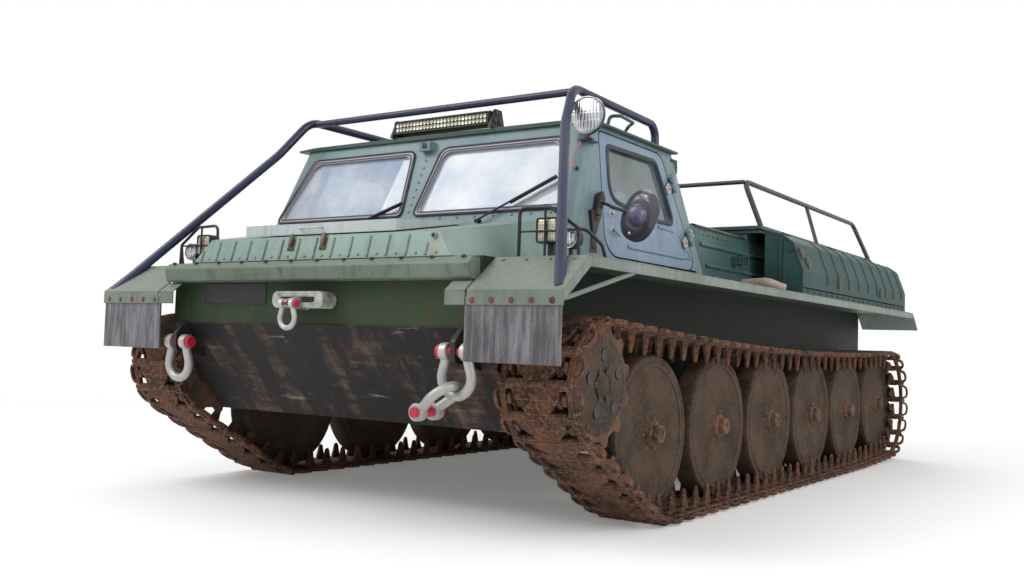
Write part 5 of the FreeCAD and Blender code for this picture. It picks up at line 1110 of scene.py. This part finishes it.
def lamp_lens(name, colour, ribs, metallic=0.55, rough=0.16):
    """Moulded lamp lens over its silvered bowl: bands of ribs across and fewer ones down, a little dusty."""
    material, tree, shader = shaded(name, Metallic=metallic, Coat_Weight=1.0, Coat_Roughness=0.04)
    x, _, z = axes_of(tree)
    across = node(tree, "ShaderNodeMath", {0: times(tree, x, ribs)}, operation="SINE").outputs[0]
    down = node(tree, "ShaderNodeMath", {0: times(tree, z, ribs * 0.45)}, operation="SINE").outputs[0]
    ribbing = plus(tree, times(tree, masked(tree, across, -1, 1), 0.7),
                   times(tree, masked(tree, down, 0.6, 1), 0.3))
    grime = masked(tree, grain_at(tree, 40.0, 5.0), 0.5, 0.75)
    tone = blended(tree, ribbing, (*[c * 0.45 for c in colour], 1), (*colour, 1))
    tone = blended(tree, times(tree, grime, 0.45), tone, (0.3, 0.27, 0.2, 1))
    wired(tree, shader, Base_Color=tone, Roughness=between(tree, grime, rough, 0.5),
          Normal=raised(tree, ribbing, 0.002, 0.8))
    return material


bar_lens = lamp_lens("bar_lens", (0.62, 0.6, 0.4), 340.0)
bar_y = -1.7716
led_x, led_z = np.meshgrid(np.linspace(-0.213, 0.316, 26), [1.777, 1.799])
led = turned([(0, -0.002), (0.0098, 0.0), (0.0098, 0.0015), (0.004, -0.0008), (0, -0.0008)], 8)
led_at = points_at(led_x.ravel(), bar_y - 0.0012, led_z.ravel())
made_of(repeated(led, led_at, forward), "light_bar_reflectors", bar_lens, "hull")
bezel_line = softened([(-0.232, 1.760), (0.335, 1.760), (0.335, 1.816), (-0.232, 1.816)], [0.004] * 4, 3)
bezel_path = points_at(bezel_line[:, 0], bar_y + 0.001, bezel_line[:, 1])
bezel = carried(bar_of(0.004, -0.003, 0.004), bezel_path, up=forward, closed=True)
made_of(bezel, "light_bar_bezel", bar_black)
fin_x = np.linspace(-0.225, 0.328, 36)
fins = together(*[brick(x - 0.0015, x + 0.0015, -1.752, -1.708, 1.8195, 1.8265, 0.0005) for x in fin_x])
made_of(fins, "light_bar_fins", bar_black)
ends = np.array([(-0.2535, y, z) for y, z in ((-1.745, 1.775), (-1.705, 1.775), (-1.733, 1.815))])
made_of(together(repeated(bolt, ends, (-1, 0, 0)),
                 repeated(bolt, ends * (-1, 1, 1) + (0.1030, 0, 0), leftward)),
        "light_bar_bolts", bolt_steel)

# ---- Searchlight ----
# A round lamp on the cab's left front corner: a dark blue pressed bowl, a bright rim held by a clamp screw,
# and a domed clear lens moulded with ribs over a silvered reflector.
bowl_blue = painted("bowl_blue", (0.014, 0.019, 0.036), (0.03, 0.04, 0.065), wear=0.3, streaks=0.1,
                    mud=0, gloss=0.15)
coat_nodes(bowl_blue, "searchlight")
clear_lens = lamp_lens("clear_lens", (0.8, 0.82, 0.84), 420.0, metallic=0.7, rough=0.08)
lamp_face = np.array([0.898, -1.8316, 1.730])
outwards = np.sin(np.linspace(1, 0, 9) * np.pi / 2)
dome = turned(np.column_stack([0.0765 * outwards, 0.0105 * (1 - outwards ** 2) + 0.0005]), 48)
made_of(repeated(dome, lamp_face, forward), "searchlight_lens", clear_lens, "hull")
bright_rim = painted("bright_rim", (0.3, 0.32, 0.34), (0.42, 0.44, 0.46), wear=0.4, streaks=0.1, dust=0.2,
                     mud=0, gloss=0.15, metallic=0.8)
rim_circle = circle_of(0.0795, 48)
rim_path = lamp_face + points_at(rim_circle[:, 0], -0.001, rim_circle[:, 1])
rim_ring = carried([(-0.0045, -0.002), (0.0045, -0.002), (0.0040, 0.003), (0, 0.0045), (-0.0040, 0.003)],
                   rim_path, up=forward, closed=True)
made_of(rim_ring, "searchlight_rim", bright_rim)
clamp_screw = together(brick(-0.008, 0.008, -0.006, 0.006, -0.006, 0.006),
                       repeated(turned([(0, 0), (0.0035, 0), (0.0035, 0.010), (0, 0.010)], 8),
                                [(0.007, 0, 0)], leftward))
made_of(repeated(clamp_screw, [(0.898, -1.825, 1.641)]), "searchlight_clamp_screw", bolt_steel)

# ---- Fender lamps, work lamp and cages ----
# A square lamp and a round one on each fender inside a welded rod cage, and one small lamp behind the cab.
lamp_black = painted("lamp_black", (0.014, 0.015, 0.016), (0.035, 0.036, 0.036), wear=0.4, streaks=0.15,
                     dust=0.4, mud=0)
coat_nodes(lamp_black, "lamps")
coat_nodes(black_metal, "lamp_guards")
yellowed_lens = lamp_lens("yellowed_lens", (0.66, 0.62, 0.46), 560.0)
square_middle = np.array([1.002, 1.178])
square_line = softened([(0.959, 1.134), (1.045, 1.134), (1.045, 1.222), (0.959, 1.222)], [0.010] * 4, 5)


def square_ring(k, y):
    """The square lamp's outline drawn in or out about its middle, at its own depth."""
    x, z = (square_middle + (square_line - square_middle) * k).T
    return points_at(x, y, z)


square_rings = ((1.0, -2.2860), (0.99, -2.2880), (0.8, -2.2905), (0.4, -2.2920))
made_of(on_both_sides(skin([square_ring(*ring) for ring in square_rings])), "square_lamp_lenses",
        yellowed_lens, "hull")
lamp_frame = carried(bar_of(0.004, -0.002, 0.003, 0.0035), square_ring(1.05, -2.2868),
                     up=forward, closed=True)
made_of(on_both_sides(lamp_frame), "square_lamp_frames", lamp_black)
round_x, round_z = 1.097, 1.146
round_dome = turned([(0.0375, 0.0002), (0.036, 0.003), (0.029, 0.0065), (0.018, 0.009), (0.0, 0.010),
                     (0.0, 0.0)], 32)
made_of(on_both_sides(repeated(round_dome, [(round_x, -2.2845, round_z)], forward)), "round_lamp_lenses",
        clear_lens, "hull")
round_circle = circle_of(0.0395, 32)
round_path = points_at(round_x + round_circle[:, 0], -2.2855, round_z + round_circle[:, 1])
made_of(on_both_sides(carried(bar_of(0.003, -0.001, 0.003, 0.0025), round_path,
                              up=forward, closed=True)), "round_lamp_rims", bright_rim)
work_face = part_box("lamps")[1][1]
work_dome = turned([(0.0225, 0.0), (0.021, 0.002), (0.012, 0.004), (0.0, 0.005), (0.0, -0.001)], 24)
made_of(repeated(work_dome, [(0.846, work_face, 1.662)], rearward), "work_lamp_lens", clear_lens,
        "hull")

# ---- Outside mirror ----
# An oval mirror on the driver's side: a flanged plastic back with a big domed boss and two screws, glass
# behind, on a bent arm clamped to the door pillar. The black plastic has faded to violet and still shines.
mirror_black = painted("mirror_black", (0.012, 0.012, 0.014), (0.03, 0.028, 0.03), wear=0.4,
                       streaks=0.1, mud=0)
mirror_back = soft_finish("mirror_back", (0.021, 0.015, 0.033), dusty=0.16, grain=500, depth=0.0002,
                          Coat_Weight=0.9, Coat_Roughness=0.1)
boss_violet = soft_finish("boss_violet", (0.07, 0.052, 0.12), dusty=0.2, grain=500, depth=0.0002,
                          Coat_Weight=0.9, Coat_Roughness=0.08)
swing, tip = np.radians([-8, 28])
swung = np.array([[np.cos(swing), -np.sin(swing), 0], [np.sin(swing), np.cos(swing), 0], [0, 0, 1]])
tipped = np.array([[np.cos(tip), 0, np.sin(tip)], [0, 1, 0], [-np.sin(tip), 0, np.cos(tip)]])
head_at = np.array([1.137, -1.7865, 1.290])


def on_head(shape):
    """Shape made upright about the mirror's middle, tipped over, swung in and moved to its place."""
    return shape[0] @ (swung @ tipped).T + head_at, shape[1]


unit = circle_of(1.0, 48)
oval = np.sign(unit) * np.abs(unit) ** 0.86 * (0.088, 0.112)


def oval_rings(levels):
    """Skin over copies of the oval, each scaled and set at its own depth."""
    return skin([points_at(oval[:, 0] * k, y, oval[:, 1] * k) for k, y in levels])


shell = oval_rings(((0.96, 0.0190), (1.0, 0.0170), (1.01, 0.0125), (1.0, 0.0090), (0.955, 0.0070),
                    (0.90, 0.0035), (0.82, -0.0030), (0.72, -0.0075), (0.60, -0.0098), (0.50, -0.0105)))
shell = made_of(on_head(shell), "mirror_shell", mirror_back, "hull")
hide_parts("mirror")
boss = turned([(0.0, 0.004), (0.050, 0.004), (0.0495, 0.015), (0.047, 0.020), (0.0435, 0.0205),
               (0.042, 0.028), (0.037, 0.036), (0.028, 0.042), (0.015, 0.0455), (0.0, 0.0465)], 36)
made_of(on_head(repeated(boss, [(0, 0, 0)], forward)), "mirror_boss", boss_violet, "hull")
head_screw = turned([(0, 0), (0.009, 0), (0.009, 0.003), (0.006, 0.005), (0.002, 0.0052), (0, 0.0035)], 16)
made_of(on_head(repeated(head_screw, [(0, -0.0035, 0.084), (0, -0.0035, -0.084)], forward)), "mirror_screws",
        bright_rim)
silver, tree, shader = shaded("mirror_silver", Metallic=1.0)
smear = masked(tree, grain_at(tree, 18.0, 5.0), 0.45, 0.8)
wired(tree, shader, Base_Color=blended(tree, smear, (0.86, 0.88, 0.9, 1), (0.7, 0.71, 0.7, 1)),
      Roughness=between(tree, smear, 0.02, 0.22))
made_of(on_head(oval_rings(((0.92, 0.0180), (0.92, 0.0200), (0.90, 0.0206)))), "mirror_pane", silver,
        "hull")
pillar_x = side_half(1.230) + 0.004
bracket_y = screen_foot + 0.117
bracket = together(
    plate([(bracket_y + 0.020, 1.215), (bracket_y - 0.008, 1.136), (bracket_y + 0.062, 1.140),
           (bracket_y + 0.044, 1.215)],
          pillar_x - 0.006, pillar_x + 0.006),
    plate([(bracket_y + 0.020, 1.213), (bracket_y + 0.044, 1.213), (bracket_y + 0.096, 1.318),
           (bracket_y + 0.002, 1.322)],
          pillar_x - 0.008, pillar_x + 0.006),
    plate([(bracket_y + 0.030, 1.306), (bracket_y + 0.058, 1.300), (bracket_y + 0.108, 1.382),
           (bracket_y + 0.088, 1.412), (bracket_y + 0.068, 1.400)], pillar_x - 0.014,
          pillar_x + 0.016, 0.003))
bracket = (bracket[0][:, [2, 0, 1]], bracket[1])
bend = np.array([(pillar_x + 0.004, bracket_y + 0.078, 1.360), (pillar_x + 0.030, bracket_y + 0.070, 1.356),
                 (pillar_x + 0.058, bracket_y + 0.056, 1.346), (pillar_x + 0.085, bracket_y + 0.036, 1.333),
                 head_at + (-0.030, -0.020, 0.012), head_at + (-0.006, -0.026, 0.002)])
made_of(together(bracket, carried(circle_of(0.0075, 10), bend)), "mirror_arm", mirror_black, "hull")
clamp_bolts = [(pillar_x + 0.016, bracket_y + 0.070, 1.345), (pillar_x + 0.016, bracket_y + 0.086, 1.385),
               (pillar_x + 0.006, bracket_y + 0.045, 1.290), (pillar_x + 0.006, bracket_y + 0.028, 1.165)]
made_of(repeated(bolt, clamp_bolts, leftward), "mirror_clamp_bolts", rusty_bolts)

# ---- Inside the cab ----
# Behind the glass: a black dashboard with round gauges, two steering levers with ball knobs, the engine's
# steel cover between two padded vinyl seats on painted steel boxes.
dash_black = soft_finish("dash_black", (0.02, 0.02, 0.021), dusty=0.5, grain=420)
coat_nodes(dash_black, "controls")
knob = turned([(0, 0), (0.013, 0.002), (0.021, 0.012), (0.023, 0.024), (0.018, 0.038), (0.008, 0.045),
               (0, 0.046)], 20)
knob_black = painted("knob_black", (0.01, 0.01, 0.011), (0.02, 0.02, 0.02), wear=0.2, streaks=0,
                     mud=0, gloss=0.1)
made_of(repeated(knob, [(x, -1.5525, 1.222) for x in (0.470, 0.650)], (0, 0.12, 1)), "lever_knobs",
        knob_black, "hull")
gauge_rim = turned([(0, 0), (0.042, 0), (0.042, 0.005), (0.039, 0.008), (0.036, 0.006), (0, 0.006)], 28)
gauge_face = turned([(0, 0), (0.0355, 0), (0.0355, 0.0015), (0, 0.0018)], 28)
dial = painted("dial_face", (0.55, 0.55, 0.5), (0.62, 0.62, 0.58), wear=0, streaks=0, dust=0.4,
               mud=0, gloss=0.2)
slant_out = np.array([0, 0.13, 0.06])
dial_at = points_at([0.36, 0.46, 0.56, 0.66], -1.7755, 1.190)
dial_out = slant_out / np.linalg.norm(slant_out)
made_of(repeated(gauge_rim, dial_at, slant_out), "gauge_rims", bright_rim, "hull")
made_of(repeated(gauge_face, dial_at + dial_out * 0.0062, slant_out), "gauge_faces", dial,
        "hull")
needle = brick(-0.001, 0.001, -0.004, 0.028, 0.0, 0.0012, 0.0003)
made_of(repeated(needle, dial_at + dial_out * 0.0082, slant_out), "gauge_needles",
        knob_black, "hull")

# ---- Engine cover ----
# A box of folded sheet steel over the engine, between the seats. Its dull grey paint is chipped at the
# edges and dusty on top.
cover_grey = painted("cover_grey", (0.05, 0.06, 0.055), (0.085, 0.095, 0.09), wear=0.6, streaks=0.2,
                     dust=0.6, mud=0)
coat_nodes(cover_grey, "engine_block")

# ---- Exhaust and tow hook ----
# The exhaust is a short bent pipe, burnt pale and scaly with rust; the tow hook is a dark forging with a
# reddish pin across it, bolted to the rear plate by six bolts.
burnt_pipe = rusted("burnt_pipe", (0.34, 0.26, 0.21), (0.5, 0.4, 0.34), (0.62, 0.53, 0.47), share=0.6,
                    wear=0.3, dirt=0.1)
coat_nodes(burnt_pipe, "exhaust_pipe")
hook_pin = together(turned([(0, 0), (0.0215, 0), (0.0215, 0.096), (0, 0.096)], 20),
                    repeated(turned([(0, 0), (0.030, 0), (0.030, 0.008), (0, 0.010)], 20), [(0, 0, 0.092)]))
pin_rust = rusted("pin_rust", (0.1, 0.03, 0.02), (0.26, 0.08, 0.05), (0.35, 0.16, 0.1), wear=0.7)
made_of(repeated(hook_pin, [(-0.048, hull_rear + 0.178, 0.805)], leftward), "tow_hook_pin", pin_rust,
        "hull")
hook_bolts = [(x, hull_rear + 0.020, z) for x in (-0.085, 0.085) for z in (0.745, 0.82, 0.895)]
made_of(repeated(bolt, hook_bolts, rearward), "tow_hook_bolts", bolt_steel)

# ---- Seats ----
# Two bucket seats in worn dark vinyl: a crowned cushion and a back, each padded with foam and sewn with
# channels, on a painted steel box. The padding is blown up by cloth simulation.
vinyl = soft_finish("seat_vinyl", (0.035, 0.03, 0.027), dusty=0.35, grain=700, depth=0.0004,
                    Sheen_Weight=0.15)


def pad_form(x0, x1, low_edge, high_edge, thick, out, rows=22, columns=22):
    """Closed pad over a grid: between its two edges the thickness follows the fourth root of a parabola both
    ways, so that the rim is round and the sides pull in between the corners."""
    u, v = np.meshgrid(np.linspace(-1, 1, columns), np.linspace(-1, 1, rows), indexing="ij")
    fullness = np.clip((1 - u ** 2) * (1 - v ** 2), 0, 1) ** 0.28
    waist_u = u * (1 - 0.035 * (1 - v ** 2))
    waist_v = v * (1 - 0.03 * (1 - u ** 2))
    low_edge, high_edge, out = (np.asarray(value, dtype=float) for value in (low_edge, high_edge, out))
    middle = (low_edge + high_edge) / 2 + (high_edge - low_edge) / 2 * waist_v[..., None]
    middle[..., 0] = (x0 + x1) / 2 + (x1 - x0) / 2 * waist_u
    channels = 0.006 * np.exp(-((((u * 2 + 1) % 1) - 0.5) / 0.09) ** 2) * (np.abs(u) < 0.9)
    front = middle + out * (thick / 2 * fullness - channels * fullness)[..., None]
    back = middle - out * (thick / 2 * fullness * 0.9)[..., None]
    count = rows * columns
    i, j = np.meshgrid(np.arange(columns - 1), np.arange(rows - 1), indexing="ij")
    quads = np.stack([i * rows + j, (i + 1) * rows + j, (i + 1) * rows + j + 1, i * rows + j + 1],
                     -1).reshape(-1, 4)
    return clean(np.concatenate([front.reshape(-1, 3), back.reshape(-1, 3)]),
                 np.concatenate([quads, quads[:, ::-1] + count]))


def puffed(shape, name, cap):
    """Pad blown up by pressure under cloth simulation, its points kept within the cap, then smoothed."""
    piece = made_of(shape, name, vinyl, "hull", sharp=180)
    mesher = piece.modifiers.new("even", "REMESH")
    mesher.mode = "VOXEL"
    mesher.voxel_size = 0.006
    graph = bpy.context.evaluated_depsgraph_get()
    piece.data = bpy.data.meshes.new_from_object(piece.evaluated_get(graph))
    piece.modifiers.clear()
    before = np.empty(len(piece.data.vertices) * 3)
    piece.data.vertices.foreach_get("co", before)
    cloth = piece.modifiers.new("filling", "CLOTH")
    cloth.settings.use_pressure = True
    cloth.settings.uniform_pressure_force = 4.0
    cloth.settings.effector_weights.gravity = 0.0
    cloth.settings.quality = 4
    for step in range(1, 13):
        scene.frame_set(step)
    graph = bpy.context.evaluated_depsgraph_get()
    swollen = bpy.data.meshes.new_from_object(piece.evaluated_get(graph))
    after = np.empty(len(swollen.vertices) * 3)
    swollen.vertices.foreach_get("co", after)
    piece.modifiers.clear()
    scene.frame_set(1)
    move = (after - before).reshape(-1, 3)
    reach = np.linalg.norm(move, axis=1)[:, None]
    kept = before.reshape(-1, 3) + move * np.minimum(1, cap / np.maximum(reach, 1e-9))
    piece.data.vertices.foreach_set("co", kept.astype(np.float32).ravel())
    piece.data.update()
    piece.data.shade_smooth()
    return piece


seat_y = screen_foot + 0.430
cushion_form = pad_form(0.342, 0.778, (0, seat_y + 0.012, 0.952), (0, seat_y + 0.420, 0.934), 0.092,
                        (0, 0.045, 1.0))
back_form = pad_form(0.352, 0.768, (0, seat_y + 0.482, 0.915), (0, seat_y + 0.558, 1.488), 0.072,
                     (0, -0.99, 0.13))
left_cushion = puffed(cushion_form, "left_seat_cushion", 0.008)
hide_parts("seats")
left_back = puffed(back_form, "left_seat_back", 0.006)
for source, name in ((left_cushion, "right_seat_cushion"), (left_back, "right_seat_back")):
    other = made_of(mirrored(read_back(source.data)), name, vinyl, "hull", sharp=180)
box_steel = painted("seat_box_steel", (0.05, 0.085, 0.07), (0.08, 0.12, 0.1), wear=0.6, streaks=0.2,
                    dust=0.6, mud=0)
seat_box = brick(0.380, 0.740, seat_y + 0.040, seat_y + 0.400, 0.640, 0.886, 0.004)
rails = together(brick(0.392, 0.410, seat_y + 0.030, seat_y + 0.410, 0.8865, 0.8965, 0.002),
                 brick(0.710, 0.728, seat_y + 0.030, seat_y + 0.410, 0.8865, 0.8965, 0.002))
made_of(on_both_sides(together(seat_box, rails)), "seat_boxes", box_steel)
